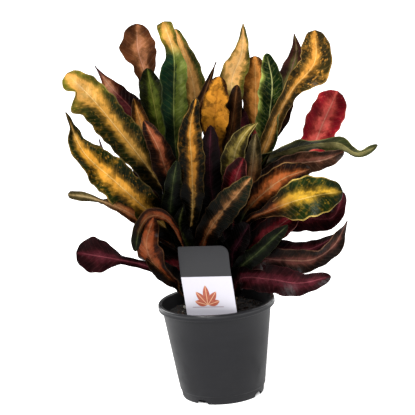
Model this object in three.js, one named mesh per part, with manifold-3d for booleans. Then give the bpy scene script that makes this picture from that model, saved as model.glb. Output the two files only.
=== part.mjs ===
// A potted croton (Codiaeum) of the long, twisted-leaf kind: four rooted, leafy stems in a 13 cm
// nursery pot filled with potting soil, with a stick-in plant label inside the front of the rim.
// Millimetres, +Z up, the origin at the middle of the pot's base, the label and the best side at -Y.
import * as THREE from "three";
import { mergeVertices } from "three/addons/utils/BufferGeometryUtils.js";
import Module from "manifold-3d";

const wasm = await Module();
wasm.setup();

const GAP = 0.3; // clearance between pieces that touch

// ---- the pot: a 13 cm thermoformed nursery pot ----
const POT = {
  height: 108,
  rimRadius: 65, // the lip's outer edge
  lipReach: 3.4, // how far the rolled lip stands out of the wall
  lipHeight: 7.5,
  baseRadius: 46.5,
  wall: 1.4,
  footHeight: 10, // the foot ring below the ledge
  footInset: 1,
  floorHeight: 6, // the floor is raised, so that water can leave by the notches
  notchWidth: 14,
  notchHeight: 5,
  notchBearings: [-122, -32, 58, 148], // degrees from the front, counted towards +X
  floorHoleRadius: 5,
  centreFootRadius: 7, // the moulded stud in the middle of the floor, level with the foot ring
  sides: 36,
};
POT.wallTopRadius = POT.rimRadius - POT.lipReach;
POT.slope = (POT.wallTopRadius - POT.baseRadius) / POT.height;

// ---- the soil ----
const SOIL = { top: 95, crumb: 1.6, sides: 30, rings: 7 };

// ---- the plant label: a printed card on a pointed stake ----
const LABEL = {
  width: 57,
  cardBottom: 101,
  cardTop: 182.8,
  stakeTip: 40,
  stakeWidth: 13,
  thickness: 0.8,
  depth: -45, // Y of its back face, at the rim's height
  middle: -5.8, // of the card at the rim, along X
  tilt: 9, // degrees, its top towards the viewer
  lean: 1.5, // degrees to the left
  turn: 18, // degrees, its right edge towards the viewer
  corner: 10,
  curlFrom: 150, // above this height the card bends back
  curlBack: 5,
};

// ---- the stems: [x, y] where each one stands in the soil, [x, y, z] of its growing tip ----
const STEMS = {
  front_left: { foot: [-17, -12], tip: [-32, -10, 240] },
  front_right: { foot: [18, -10], tip: [36, -8, 238] },
  back_left: { foot: [-14, 16], tip: [-26, 22, 248] },
  back_right: { foot: [16, 18], tip: [30, 24, 244] },
};
const STEM = {
  footRadius: 3.8,
  tipRadius: 2.3,
  rootedTo: 38,
  uprightTo: SOIL.top + 2, // from here up it leans towards its tip
  sides: 8,
  pieces: 9,
};

// ---- the leaves ----
const BLADE = {
  thickness: 0.9,
  petioleWidth: 3.4,
  petioleThickness: 2.4,
  keel: 0.2, // how far the edges rise beside the midrib, as a share of the half width
  stationSpacing: 21.5,
  stationSpacingBehind: 34,
  waveLength: 46,
};

// Outlines, along the leaf's length from 0 to 1: how far the stalk part runs and what share of the
// width it keeps, where the blade is widest, how it rises to that and how it falls to the tip
// (under 1 is blunt, over 1 is drawn out), and how deep a neck it has, and where.
const FORMS = {
  strap: { stalk: 0.04, waist: 0.14, peak: 0.6, rise: 0.8, fall: 0.5 },
  lance: { stalk: 0.06, waist: 0.14, peak: 0.48, rise: 0.8, fall: 1.1 },
  tall: { stalk: 0.1, waist: 0.3, peak: 0.66, rise: 0.9, fall: 0.9 },
  spoon: { stalk: 0.54, waist: 0.2, peak: 0.8, rise: 1.1, fall: 0.45 },
  longstalk: { stalk: 0.69, waist: 0.25, peak: 0.88, rise: 1.1, fall: 0.45 },
  paddle: { stalk: 0.3, waist: 0.28, peak: 0.74, rise: 1.0, fall: 0.42 },
  hook: { stalk: 0.05, waist: 0.16, peak: 0.6, rise: 0.75, fall: 0.8 },
  necked: { stalk: 0.05, waist: 0.3, peak: 0.42, rise: 0.8, fall: 0.28, neck: 0.7, neckAt: 0.8 },
  blunt: { stalk: 0.04, waist: 0.14, peak: 0.74, rise: 0.8, fall: 0.3 },
  racket: { stalk: 0.66, waist: 0.44, peak: 0.86, rise: 1.0, fall: 0.42 },
  crested: { stalk: 0.06, waist: 0.3, peak: 0.5, rise: 0.8, fall: 0.16, neck: 0.45, neckAt: 0.85 },
  flag: { stalk: 0.46, waist: 0.22, peak: 0.84, rise: 0.8, fall: 0.4 },
};
const NECK_LENGTH = 0.09; // of the leaf's length

// The viewer's eye. A leaf's midrib is given as it is seen from there: [x, z] is where a point
// shows on the plane Y = 0, and the third number is its real Y, along the same line of sight.
const EYE = new THREE.Vector3(-2, -1950, 656);

// Front leaves: name, stem, height of the root on it, width, form, how far the face is turned
// from the viewer at root, middle and tip (degrees), edge wave (mm), and the midrib's points.
const FRONT_LEAVES = [
  ["gold_high_left", "front_left", 200, 40, "blunt", [35, 10, -12], 2.5,
    [[-61, 259, -24], [-91, 306, -32], [-118, 345, -38], [-142, 373, -42]]],
  ["gold_low_left", "front_left", 165, 41, "hook", [20, 0, 55], 3,
    [[-67, 214, -40], [-100, 250, -56], [-132, 286, -64], [-147, 331, -62]]],
  ["brown_thin_left", "front_left", 152, 19, "necked", [50, 30, 10], 2,
    [[-66, 197, -38], [-92, 216, -58], [-126, 233, -74], [-153, 240, -76]]],
  ["maroon_blunt_left", "front_left", 158, 19, "paddle", [20, 40, 10], 1.5,
    [[-76, 208, -22], [-108, 238, -24]]],
  ["dark_drooping_left", "front_left", 142, 17, "paddle", [100, 120, 150], 1,
    [[-48, 204, -50], [-66, 208, -60], [-78, 195, -64], [-85, 170, -64]]],
  ["orange_twisted_left", "front_left", 112, 34, "strap", [15, 100, 190], 2.5,
    [[-46, 130, -28], [-64, 152, -48], [-72, 176, -60], [-62, 207, -58]]],
  ["plum_spoon_left", "front_left", 118, 38, "longstalk", [30, 10, 0], 1,
    [[-50, 138, -36], [-76, 153, -44], [-108, 163, -50], [-150, 174, -54]]],
  ["umber_low_left", "front_left", 106, 22, "strap", [30, 10, 0], 2,
    [[-36, 126, -26], [-52, 141, -42], [-74, 160, -52]]],
  ["rust_inner_left", "front_left", 190, 26, "strap", [20, 15, 0], 2.5,
    [[-42, 250, -38], [-50, 283, -52], [-63, 315, -60]]],
  ["brown_strip_left", "front_left", 212, 22, "strap", [30, 25, 20], 2,
    [[-50, 264, -12], [-64, 300, -14], [-72, 340, -14]]],
  ["green_tall_left", "front_left", 234, 30, "crested", [30, 30, -20], 2.5,
    [[-31, 310, -20], [-28, 348, -24], [-25, 384, -22], [-33, 421, -20]]],
  ["gold_centre", "front_left", 184, 28, "strap", [-20, -12, 30], 3,
    [[-18, 214, -44], [-15, 262, -64], [-14, 302, -68], [-5, 335, -68]]],
  ["needle_centre", "front_left", 228, 18, "lance", [40, 30, 20], 1,
    [[-6, 316, -10], [7, 345, -8], [20, 373, -6]]],
  ["green_front", "front_left", 150, 31, "strap", [20, 8, 15], 2,
    [[-5, 182, -33], [11, 203, -58], [31, 224, -84], [49, 243, -104]]],
  ["dark_inner_left", "front_left", 140, 22, "strap", [40, 30, 10], 2,
    [[-42, 200, -32], [-39, 235, -56], [-31, 268, -78]]],
  ["speckled_low", "front_left", 126, 20, "hook", [30, 10, 30], 2,
    [[-26, 166, -24], [-34, 192, -30], [-28, 218, -54]]],
  ["gold_blotched", "front_right", 236, 29, "paddle", [20, 5, -10], 2,
    [[13, 290, -30], [15, 316, -44], [22, 357, -50]]],
  ["umber_inner", "front_right", 226, 24, "strap", [-40, -30, -20], 2,
    [[26, 276, -24], [34, 310, -34], [41, 346, -38]]],
  ["green_bright_right", "front_right", 234, 31, "strap", [-50, -40, -10], 2,
    [[66, 272, -14], [74, 312, -18], [79, 346, -18], [75, 378, -14]]],
  ["gold_spoon_right", "front_right", 212, 36, "racket", [10, 0, -10], 1.5,
    [[66, 274, -20], [82, 308, -30], [101, 337, -40], [126, 364, -44], [129, 399, -46]]],
  ["red_blade_right", "front_right", 192, 38, "flag", [20, 5, -5], 1.5,
    [[86, 246, -4], [117, 271, 0], [131, 297, 0], [149, 331, 0]]],
  ["green_wavy_right", "front_right", 200, 21, "strap", [60, 58, 40], 3,
    [[64, 260, -16], [92, 271, -32], [124, 275, -36], [148, 273, -36], [166, 261, -36], [189, 268, -34]]],
  ["tan_shaded_right", "front_right", 180, 28, "strap", [20, 30, 10], 2,
    [[68, 240, -28], [103, 254, -42], [128, 256, -46], [152, 263, -46]]],
  ["orange_dark_right", "front_right", 148, 31, "paddle", [20, -8, -10], 2,
    [[37, 200, -42], [65, 227, -62], [87, 240, -74], [114, 247, -80]]],
  ["olive_spoon_right", "front_right", 136, 44, "spoon", [30, 8, 0], 1.5,
    [[40, 193, -54], [63, 203, -70], [92, 212, -84], [120, 217, -92], [148, 219, -94]]],
  ["maroon_upturned", "front_right", 130, 30, "strap", [30, 15, -30], 2,
    [[62, 193, -36], [99, 193, -48], [135, 191, -52], [149, 218, -48]]],
  ["red_short_right", "front_right", 122, 29, "paddle", [20, 10, 0], 2,
    [[50, 168, -50], [74, 185, -60], [98, 200, -62]]],
  ["dark_curled_right", "front_right", 110, 26, "strap", [30, 10, 60], 3,
    [[41, 150, -50], [76, 147, -66], [110, 145, -78], [134, 159, -82], [151, 186, -78]]],
  ["plum_low_right", "front_right", 106, 30, "strap", [20, 0, 10], 2,
    [[28, 129, -44], [61, 126, -72], [94, 119, -88], [129, 124, -92]]],
  ["plum_mid_right", "front_right", 116, 20, "strap", [20, 15, 20], 2,
    [[34, 154, -34], [72, 160, -52], [106, 157, -60], [141, 171, -60]]],
  ["maroon_round", "front_right", 110, 28, "paddle", [20, 0, -20], 1.5,
    [[22, 158, -32], [32, 174, -50], [43, 190, -70]]],
  ["green_streaked", "front_right", 112, 20, "strap", [40, 30, 20], 2,
    [[28, 140, -40], [49, 157, -62], [85, 186, -78]]],
  ["lime_curved", "front_right", 202, 26, "hook", [30, 5, -30], 2,
    [[30, 258, -56], [37, 280, -72], [50, 296, -80], [60, 303, -78]]],
  ["red_round", "front_right", 172, 26, "paddle", [10, 0, -10], 1.5,
    [[27, 224, -56], [33, 246, -78], [42, 265, -90]]],
  ["maroon_centre", "front_right", 152, 28, "strap", [30, 20, 0], 2,
    [[6, 215, -34], [4, 256, -50], [9, 304, -60]]],
  ["shade_centre", "front_right", 116, 32, "strap", [0, 0, 0], 2,
    [[6, 168, -6], [2, 215, -7], [4, 262, -8]]],
  ["olive_inner_right", "front_right", 164, 22, "strap", [-30, -20, 0], 2,
    [[46, 232, -42], [53, 265, -54], [57, 291, -60]]],
];

// Leaves of the back stems that rise behind the front ones and show over them.
const TOP_LEAVES = [
  ["tan_spoon_top", "back_left", 244, 36, "racket", [20, 5, 12], 1.5,
    [[-56, 330, 18], [-58, 366, 24], [-63, 393, 28], [-62, 421, 30]]],
  ["olive_waved_left", "back_left", 238, 34, "strap", [30, 20, 0], 3,
    [[-46, 296, 8], [-51, 334, 8], [-55, 372, 8]]],
  ["dark_pointed_left", "back_left", 234, 34, "lance", [20, 10, 40], 2,
    [[-58, 296, 14], [-77, 331, 18], [-94, 352, 22], [-111, 379, 26]]],
  ["green_gold_top", "back_left", 246, 29, "strap", [-10, -15, -30], 2,
    [[-7, 316, 16], [-7, 356, 20], [-21, 412, 24]]],
  ["gold_pointed_top", "back_right", 242, 27, "tall", [10, 0, 30], 2.5,
    [[33, 330, 18], [36, 354, 24], [48, 380, 26], [52, 412, 26]]],
  ["tan_wide_top", "back_right", 244, 31, "paddle", [10, 5, 0], 1.5,
    [[54, 290, 28], [60, 335, 34], [62, 376, 38]]],
  ["brown_pointed_top", "back_right", 238, 25, "tall", [-20, -10, 20], 3,
    [[80, 300, 20], [95, 345, 24], [107, 378, 28], [106, 397, 30]]],
];

// Leaves that stand in the middle of the crown, facing the two sides.
const SIDE_LEAVES = [
  ["side_high_left", "back_left", 196, 30, "strap", [-60, -70, -75], 2,
    [[-36, 236, 12], [-44, 270, 8], [-56, 306, 4]]],
  ["side_mid_left", "back_left", 168, 30, "strap", [60, 70, 75], 2,
    [[-38, 200, 10], [-52, 232, 6], [-68, 262, 4]]],
  ["side_low_left", "back_left", 138, 30, "strap", [-60, -70, -70], 2,
    [[-34, 166, 10], [-50, 194, 6], [-70, 216, 4]]],
  ["side_high_right", "back_right", 196, 30, "strap", [60, 70, 75], 2,
    [[42, 238, 12], [52, 272, 8], [62, 306, 6]]],
  ["side_mid_right", "back_right", 168, 30, "strap", [-60, -70, -75], 2,
    [[42, 200, 12], [58, 230, 8], [76, 256, 6]]],
  ["side_low_right", "back_right", 138, 30, "strap", [60, 70, 70], 2,
    [[40, 164, 12], [60, 188, 8], [80, 206, 6]]],
];

// The back of the crown repeats the front leaves, each leaning the other way to fill a dome behind
// them, so that they show from behind and darken the gaps that show from the front.
const CROWN = {
  radius: 146,
  shoulder: 300, // the height up to which it is that wide
  top: 425,
  topRadius: 62,
  middle: 190,
  inner: 22, // where its leaves begin, behind the pot's axis
  leastReach: 40,
  narrowed: 0.77, // its width as a share of the front's
  lowest: 150,
};
const LEFT_OUT_BEHIND = [
  "needle_centre",
  "green_wavy_right",
  "dark_drooping_left",
  "plum_spoon_left",
  "plum_mid_right",
  "dark_curled_right",
  "maroon_blunt_left",
  "umber_low_left",
  "shade_centre",
  "speckled_low",
  "maroon_round",
  "red_round",
  "lime_curved",
  "tan_shaded_right",
  "gold_spoon_right",
  "red_blade_right",
];

// Dark leaves fanned through the middle of the crown on the back stems, behind the front ones:
// height of the root, degrees from upright, and length.
const FAN = {
  back_left: [[216, 8, 104], [182, 38, 96], [160, 58, 62], [138, 72, 56], [118, 10, 96]],
  back_right: [[216, 8, 104], [184, 38, 104], [140, 76, 82], [118, -6, 96]],
};
const FAN_BLADE = { width: 36, rootDepth: 15, tipDepth: 18, sag: 14 };

// ================= solids =================

// A closed BufferGeometry as a manifold solid.
function solidFrom(geometry) {
  const bare = geometry.index ? geometry.toNonIndexed() : geometry.clone();
  bare.deleteAttribute("normal");
  bare.deleteAttribute("uv");
  const merged = mergeVertices(bare, 1e-4);
  return new wasm.Manifold(
    new wasm.Mesh({
      numProp: 3,
      vertProperties: new Float32Array(merged.attributes.position.array),
      triVerts: new Uint32Array(merged.index.array),
    }),
  );
}

// A manifold solid as a BufferGeometry.
function geometryFrom(solid) {
  const made = solid.getMesh();
  return new THREE.BufferGeometry()
    .setAttribute("position", new THREE.BufferAttribute(made.vertProperties, 3))
    .setIndex(new THREE.BufferAttribute(made.triVerts, 1));
}

// A solid with the closed pockets filled that are left where blades cross each other.
function outerShell(solid) {
  return solid.decompose().reduce((best, shell) => (shell.volume() > best.volume() ? shell : best));
}

// Points and faces as a BufferGeometry.
function facetGeometry(points, faces) {
  return new THREE.BufferGeometry().setFromPoints(points).setIndex(faces.flat());
}

// A round tube through the points, with a radius at each, closed at both ends.
function taperedTube(points, radii, sides) {
  const curve = new THREE.CatmullRomCurve3(points);
  const vertices = [];
  points.forEach((centre, i) => {
    const along = curve.getTangent(i / (points.length - 1));
    const across = new THREE.Vector3(0, 1, 0).cross(along).normalize();
    const third = along.clone().cross(across);
    for (let k = 0; k < sides; k++) {
      const angle = (2 * Math.PI * k) / sides;
      vertices.push(
        centre
          .clone()
          .addScaledVector(across, radii[i] * Math.cos(angle))
          .addScaledVector(third, radii[i] * Math.sin(angle)),
      );
    }
  });
  const faces = [];
  for (let i = 0; i + 1 < points.length; i++)
    for (let k = 0; k < sides; k++) {
      const [a, b] = [i * sides + k, i * sides + ((k + 1) % sides)];
      faces.push([a, b, b + sides], [a, b + sides, a + sides]);
    }
  const last = (points.length - 1) * sides;
  for (let k = 1; k + 1 < sides; k++) {
    faces.push([0, k + 1, k]);
    faces.push([last, last + k, last + k + 1]);
  }
  return facetGeometry(vertices, faces);
}

// ---- pot ----
function wallRadius(height) {
  return POT.baseRadius + POT.slope * height;
}

function potProfile() {
  const { height, wall, footHeight, footInset, floorHeight, rimRadius, lipHeight } = POT;
  const innerTop = wallRadius(height) - wall;
  const underLip = height - lipHeight;
  return [
    [0, 0],
    [POT.centreFootRadius, 0],
    [POT.centreFootRadius + 0.8, floorHeight - wall],
    [POT.baseRadius - footInset - wall - 1, floorHeight - wall],
    [POT.baseRadius - footInset - wall - 0.4, 0],
    [POT.baseRadius - footInset - 0.6, 0],
    [wallRadius(1.2) - footInset, 1.2],
    [wallRadius(footHeight - 1) - footInset, footHeight - 1],
    [wallRadius(footHeight), footHeight],
    [wallRadius(underLip), underLip],
    [rimRadius - 0.9, underLip + 0.5],
    [rimRadius - 0.1, underLip + 2],
    [rimRadius, height - 1.6],
    [rimRadius - 0.8, height - 0.3],
    [rimRadius - 2, height],
    [innerTop + 0.6, height - 0.5],
    [innerTop, height - 2],
    [wallRadius(floorHeight) - wall, floorHeight],
    [0, floorHeight],
  ].map(([radius, z]) => new THREE.Vector2(radius, z));
}

// A tool that cuts one drain notch: an arched slot through the foot ring at a bearing.
function notchTool(bearing) {
  const half = POT.notchWidth / 2;
  const arch = new THREE.Shape();
  arch.moveTo(-half, -1);
  arch.lineTo(half, -1);
  arch.lineTo(half, POT.notchHeight * 0.45);
  arch.quadraticCurveTo(half * 0.8, POT.notchHeight, half * 0.4, POT.notchHeight);
  arch.lineTo(-half * 0.4, POT.notchHeight);
  arch.quadraticCurveTo(-half * 0.8, POT.notchHeight, -half, POT.notchHeight * 0.45);
  arch.closePath();
  const reach = 14;
  const bar = new THREE.ExtrudeGeometry(arch, { depth: reach, bevelEnabled: false, curveSegments: 4 });
  const turn = THREE.MathUtils.degToRad(bearing);
  bar.rotateX(Math.PI / 2);
  bar.translate(0, -(POT.baseRadius - reach / 2), 0);
  bar.rotateZ(turn);
  return solidFrom(bar);
}

// A round tool through the floor, at a bearing and a distance from the middle.
function floorHoleTool(bearing, distance) {
  const radius = POT.floorHoleRadius;
  const drill = new THREE.CylinderGeometry(radius, radius, POT.floorHeight * 2, 14);
  const turn = THREE.MathUtils.degToRad(bearing);
  drill.rotateX(Math.PI / 2);
  drill.translate(Math.sin(turn) * distance, -Math.cos(turn) * distance, POT.floorHeight);
  return solidFrom(drill);
}

function potSolid() {
  const shell = new THREE.LatheGeometry(potProfile(), POT.sides).rotateX(Math.PI / 2);
  let pot = solidFrom(shell);
  for (const bearing of POT.notchBearings) {
    pot = pot.subtract(notchTool(bearing));
    pot = pot.subtract(floorHoleTool(bearing + 45, POT.baseRadius * 0.62));
  }
  return pot;
}

// ---- soil ----
// The uneven surface of the soil, from crossed waves.
function crumbHeight(x, y) {
  const rough = Math.sin(x * 0.31 + 1.3) * Math.cos(y * 0.27) + 0.5 * Math.sin(x * 0.7 - y * 0.53);
  return SOIL.top + (SOIL.crumb * rough) / 1.5;
}

// The block of soil: rings of points outwards over the top, then one ring round the bottom.
function soilBlock() {
  const bottom = POT.floorHeight + GAP;
  const edge = SOIL.top - SOIL.crumb;
  const radiusAt = (z) => wallRadius(z) - POT.wall - GAP - 0.2;
  const points = [new THREE.Vector3(0, 0, crumbHeight(0, 0))];
  for (let ring = 1; ring <= SOIL.rings + 1; ring++)
    for (let k = 0; k < SOIL.sides; k++) {
      const angle = (2 * Math.PI * k) / SOIL.sides;
      const radius = ring > SOIL.rings ? radiusAt(bottom) : (radiusAt(edge) * ring) / SOIL.rings;
      const [x, y] = [radius * Math.cos(angle), radius * Math.sin(angle)];
      const level = ring > SOIL.rings ? bottom : edge;
      points.push(new THREE.Vector3(x, y, ring < SOIL.rings ? crumbHeight(x, y) : level));
    }
  const lastCentre = points.push(new THREE.Vector3(0, 0, bottom)) - 1;
  const faces = [];
  const at = (ring, k) => 1 + (ring - 1) * SOIL.sides + (k % SOIL.sides);
  for (let k = 0; k < SOIL.sides; k++) {
    faces.push([0, at(1, k), at(1, k + 1)]);
    for (let ring = 1; ring <= SOIL.rings; ring++) {
      faces.push([at(ring, k), at(ring + 1, k), at(ring + 1, k + 1)]);
      faces.push([at(ring, k), at(ring + 1, k + 1), at(ring, k + 1)]);
    }
    faces.push([lastCentre, at(SOIL.rings + 1, k + 1), at(SOIL.rings + 1, k)]);
  }
  return solidFrom(facetGeometry(points, faces));
}

// ---- label ----
// The card and its stake as an outline, grown by a margin for the slot that it stands in.
function labelOutline(margin) {
  const half = LABEL.width / 2 + margin;
  const stake = LABEL.stakeWidth / 2 + margin;
  const round = LABEL.corner;
  const outline = new THREE.Shape();
  outline.moveTo(0, LABEL.stakeTip - margin);
  outline.lineTo(stake, LABEL.stakeTip + 16);
  outline.lineTo(stake, LABEL.cardBottom - 12);
  outline.lineTo(half, LABEL.cardBottom);
  outline.lineTo(half, LABEL.cardTop - round);
  outline.quadraticCurveTo(half, LABEL.cardTop - round * 0.2, half - round * 0.8, LABEL.cardTop);
  outline.lineTo(-half, LABEL.cardTop);
  outline.lineTo(-half, LABEL.cardBottom);
  outline.lineTo(-stake, LABEL.cardBottom - 12);
  outline.lineTo(-stake, LABEL.stakeTip + 16);
  outline.closePath();
  return outline;
}

// Stands the flat label up and turns it about its middle at the rim's height.
function placeLabel(geometry) {
  geometry.rotateX(Math.PI / 2);
  geometry.translate(0, 0, -POT.height);
  geometry.rotateX(THREE.MathUtils.degToRad(LABEL.tilt));
  geometry.rotateY(THREE.MathUtils.degToRad(-LABEL.lean));
  geometry.rotateZ(THREE.MathUtils.degToRad(-LABEL.turn));
  return geometry.translate(LABEL.middle, LABEL.depth, POT.height);
}

// The card is cut into bands and each band's points moved back along a parabola.
function labelSolid() {
  const sheet = { depth: LABEL.thickness, bevelEnabled: false, curveSegments: 6 };
  const flat = solidFrom(new THREE.ExtrudeGeometry(labelOutline(0), sheet));
  const bands = 6;
  const rise = LABEL.cardTop - LABEL.curlFrom;
  let card;
  for (let band = 0; band <= bands; band++) {
    const low = band === 0 ? 0 : LABEL.curlFrom + (rise * (band - 1)) / bands;
    const high = LABEL.curlFrom + (rise * band) / bands;
    const slab = new THREE.BoxGeometry(LABEL.width * 2, high - low, LABEL.thickness * 6);
    slab.translate(0, (low + high) / 2, 0);
    const piece = flat.intersect(solidFrom(slab));
    card = card ? card.add(piece) : piece;
  }
  const bent = geometryFrom(card);
  const place = bent.attributes.position;
  for (let i = 0; i < place.count; i++) {
    const above = Math.max(0, place.getY(i) - LABEL.curlFrom) / rise;
    place.setZ(i, place.getZ(i) - LABEL.curlBack * above * above);
  }
  return solidFrom(placeLabel(bent));
}

function labelSlot() {
  const thick = LABEL.thickness + 2 * GAP;
  const slot = new THREE.ExtrudeGeometry(labelOutline(GAP), { depth: thick, bevelEnabled: false });
  return solidFrom(placeLabel(slot.translate(0, 0, -GAP)));
}

// ---- stems ----
// The middle of a stem at a height: upright in the soil, then leaning out to its tip.
function stemPoint(stem, height) {
  const { foot, tip } = STEMS[stem];
  const up = Math.max(0, (height - STEM.uprightTo) / (tip[2] - STEM.uprightTo));
  const lean = up * (0.45 + 0.55 * up);
  const [x, y] = [0, 1].map((k) => foot[k] + (tip[k] - foot[k]) * lean);
  return new THREE.Vector3(x, y, height);
}

function stemSolid(stem) {
  const top = STEMS[stem].tip[2];
  const heights = [STEM.rootedTo];
  for (let i = 0; i <= STEM.pieces; i++)
    heights.push(STEM.uprightTo + ((top - STEM.uprightTo) * i) / STEM.pieces);
  const radii = heights.map((z) => {
    const up = Math.max(0, (z - STEM.uprightTo) / (top - STEM.uprightTo));
    return STEM.footRadius + (STEM.tipRadius - STEM.footRadius) * up;
  });
  return solidFrom(taperedTube(heights.map((z) => stemPoint(stem, z)), radii, STEM.sides));
}

function stemHole(stem) {
  const [x, y] = STEMS[stem].foot;
  const radius = STEM.footRadius + GAP;
  const drill = new THREE.CylinderGeometry(radius, radius, SOIL.top + 12 - STEM.rootedTo, 16);
  drill.rotateX(Math.PI / 2);
  return solidFrom(drill.translate(x, y, (SOIL.top + 12 + STEM.rootedTo) / 2 - GAP));
}

// ---- leaves ----
// The point that shows at (x, z) on the plane Y = 0 and lies at depth y on that line of sight.
function sighted([x, z, y]) {
  const onPlane = new THREE.Vector3(x, 0, z);
  return EYE.clone().lerp(onPlane, (y - EYE.y) / -EYE.y);
}

// How far the crown reaches from its axis at a height.
function crownRadius(z) {
  const up = THREE.MathUtils.clamp((z - CROWN.shoulder) / (CROWN.top - CROWN.shoulder), 0, 1);
  return CROWN.radius + (CROWN.topRadius - CROWN.radius) * up;
}

// A front leaf's row as the row of the leaf behind it, on the back stem of the same side.
function rowBehind([name, stem, root, width, form, turns, wave, path], index) {
  const stagger = [0.82, 1, 0.7, 0.92][index % 4];
  const side = path[path.length - 1][0] < 0 ? "back_left" : "back_right";
  const leaned = path.map(([x, z], i) => {
    const share = (i + 1) / path.length;
    const reach = Math.sqrt(Math.max(crownRadius(z) ** 2 - x ** 2, CROWN.leastReach ** 2));
    const narrow = 1 - (1 - CROWN.narrowed) * share;
    const height = CROWN.middle + (z - CROWN.middle) * narrow;
    const depth = CROWN.inner + (reach * stagger - CROWN.inner) * share;
    return [x * narrow, Math.max(height, CROWN.lowest), depth];
  });
  const climb = THREE.MathUtils.clamp(root + 6 + (index % 3) * 3, 112, STEMS[side].tip[2] - 6);
  return [name + "_behind", side, climb, width * 0.95, form, turns.map((t) => -t), wave, leaned];
}

// The rows of the fan on one side.
function fanRows(side, sign) {
  const { width, rootDepth, tipDepth, sag } = FAN_BLADE;
  return FAN[side].map(([root, bearing, length], index) => {
    const lean = THREE.MathUtils.degToRad(bearing);
    const foot = stemPoint(side, root);
    const path = [0.35, 0.7, 1].map((share) => [
      foot.x + sign * Math.sin(lean) * length * share,
      foot.z + 6 + Math.cos(lean) * length * share - sag * Math.sin(lean) * share * share,
      rootDepth + (tipDepth - rootDepth) * share,
    ]);
    const turns = index % 2 ? [16, 8, 0] : [-16, -8, 0];
    return ["fan_" + side + "_" + index, side, root, width, "strap", turns, 2, path];
  });
}

function outlineShare(form, share) {
  const { stalk, waist, peak, rise, fall, neck = 0, neckAt = 1 } = FORMS[form];
  const pinch = 1 - neck * Math.exp(-(((share - neckAt) / NECK_LENGTH) ** 2));
  if (share <= stalk) return waist;
  if (share > peak) return pinch * Math.cos(((Math.PI / 2) * (share - peak)) / (1 - peak)) ** fall;
  const opening = Math.sin(((Math.PI / 2) * (share - stalk)) / (peak - stalk)) ** rise;
  return pinch * (waist + (1 - waist) * opening);
}

// One blade: stations along the midrib, each with a right edge, a midrib and a left edge, on two
// faces that are split into triangles along the same diagonals.
function leafSolid([, stem, root, width, form, turns, wave, path], viewer, spacing) {
  const start = stemPoint(stem, root);
  const midrib = new THREE.CatmullRomCurve3([start, ...path.map(sighted)], false, "centripetal");
  const length = midrib.getLength();
  const stations = THREE.MathUtils.clamp(Math.round(length / spacing), 5, 12);
  const waves = length / BLADE.waveLength;
  const points = [];
  for (let i = 0; i <= stations; i++) {
    const even = i / stations;
    const share = 0.5 * even + 0.5 * Math.sin((Math.PI / 2) * even);
    const centre = midrib.getPointAt(share);
    const along = midrib.getTangentAt(share);
    const facing = viewer.clone().sub(centre).normalize();
    facing.addScaledVector(new THREE.Vector3(0, 0, 1), 0.35 * Math.abs(facing.dot(along)));
    facing.addScaledVector(along, -facing.dot(along)).normalize();
    const [near, mid, far] = turns;
    const turn = share < 0.5 ? near + (mid - near) * share * 2 : mid + (far - mid) * (share * 2 - 1);
    const normal = facing.applyAxisAngle(along, THREE.MathUtils.degToRad(turn));
    const across = along.clone().cross(normal);
    const opened = THREE.MathUtils.smoothstep(share, 0.02, 0.14);
    const blade = Math.max(width * outlineShare(form, share), 1.4);
    const half = (BLADE.petioleWidth + (blade - BLADE.petioleWidth) * opened) / 2;
    const thick = (BLADE.petioleThickness + (BLADE.thickness - BLADE.petioleThickness) * opened) / 2;
    const ripple = wave * opened * Math.min(1, (half * 2) / 14);
    const phase = 2 * Math.PI * waves * share + root;
    const edgeLift = BLADE.keel * half * opened;
    const section = [
      [half, edgeLift + ripple * Math.sin(phase)],
      [0, 0],
      [-half, edgeLift + ripple * Math.sin(phase + 2.2)],
    ];
    for (const face of [1, -1])
      for (const [side, lift] of section) {
        const sideways = centre.clone().addScaledVector(across, side);
        points.push(sideways.addScaledVector(normal, lift + face * thick));
      }
  }
  const faces = [];
  const quad = (a, b, c, d) => faces.push([a, b, c], [a, c, d]);
  for (let i = 0; i < stations; i++) {
    const [a, b] = [i * 6, i * 6 + 6];
    for (const k of [0, 1]) {
      quad(a + k, b + k, b + k + 1, a + k + 1);
      quad(a + k + 3, a + k + 4, b + k + 4, b + k + 3);
    }
    quad(a, a + 3, b + 3, b);
    quad(a + 2, b + 2, b + 5, a + 5);
  }
  const last = stations * 6;
  for (const k of [0, 1]) {
    quad(k, k + 1, k + 4, k + 3);
    quad(last + k, last + k + 3, last + k + 4, last + k + 1);
  }
  return solidFrom(facetGeometry(points, faces));
}

// Every leaf as { name, stem, solid }.
function allLeaves() {
  const behind = new THREE.Vector3(EYE.x, -EYE.y, EYE.z);
  const front = [...FRONT_LEAVES, ...TOP_LEAVES];
  const back = FRONT_LEAVES.filter(([name]) => !LEFT_OUT_BEHIND.includes(name)).map(rowBehind);
  const fan = [...fanRows("back_left", -1), ...fanRows("back_right", 1)];
  const grow = (viewer, spacing) => (row) => ({
    name: row[0],
    stem: row[1],
    solid: leafSolid(row, viewer, spacing),
  });
  return [
    ...front.map(grow(EYE, BLADE.stationSpacing)),
    ...back.map(grow(behind, BLADE.stationSpacingBehind)),
    ...SIDE_LEAVES.map(grow(EYE, BLADE.stationSpacingBehind)),
    ...fan.map(grow(EYE, BLADE.stationSpacingBehind)),
  ];
}

// ================= the assembly =================
const FINISH = {
  pot: new THREE.MeshStandardMaterial({ color: 0x3b3c3f, roughness: 0.5, metalness: 0 }),
  soil: new THREE.MeshStandardMaterial({ color: 0x2b2019, roughness: 0.95, metalness: 0 }),
  label: new THREE.MeshStandardMaterial({ color: 0xc9c7c6, roughness: 0.4, metalness: 0 }),
  foliage: new THREE.MeshStandardMaterial({ color: 0x7a5a22, roughness: 0.35, metalness: 0 }),
};

function piece(name, solid, finish) {
  const mesh = new THREE.Mesh(geometryFrom(solid), finish);
  mesh.name = name;
  return mesh;
}

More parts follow.
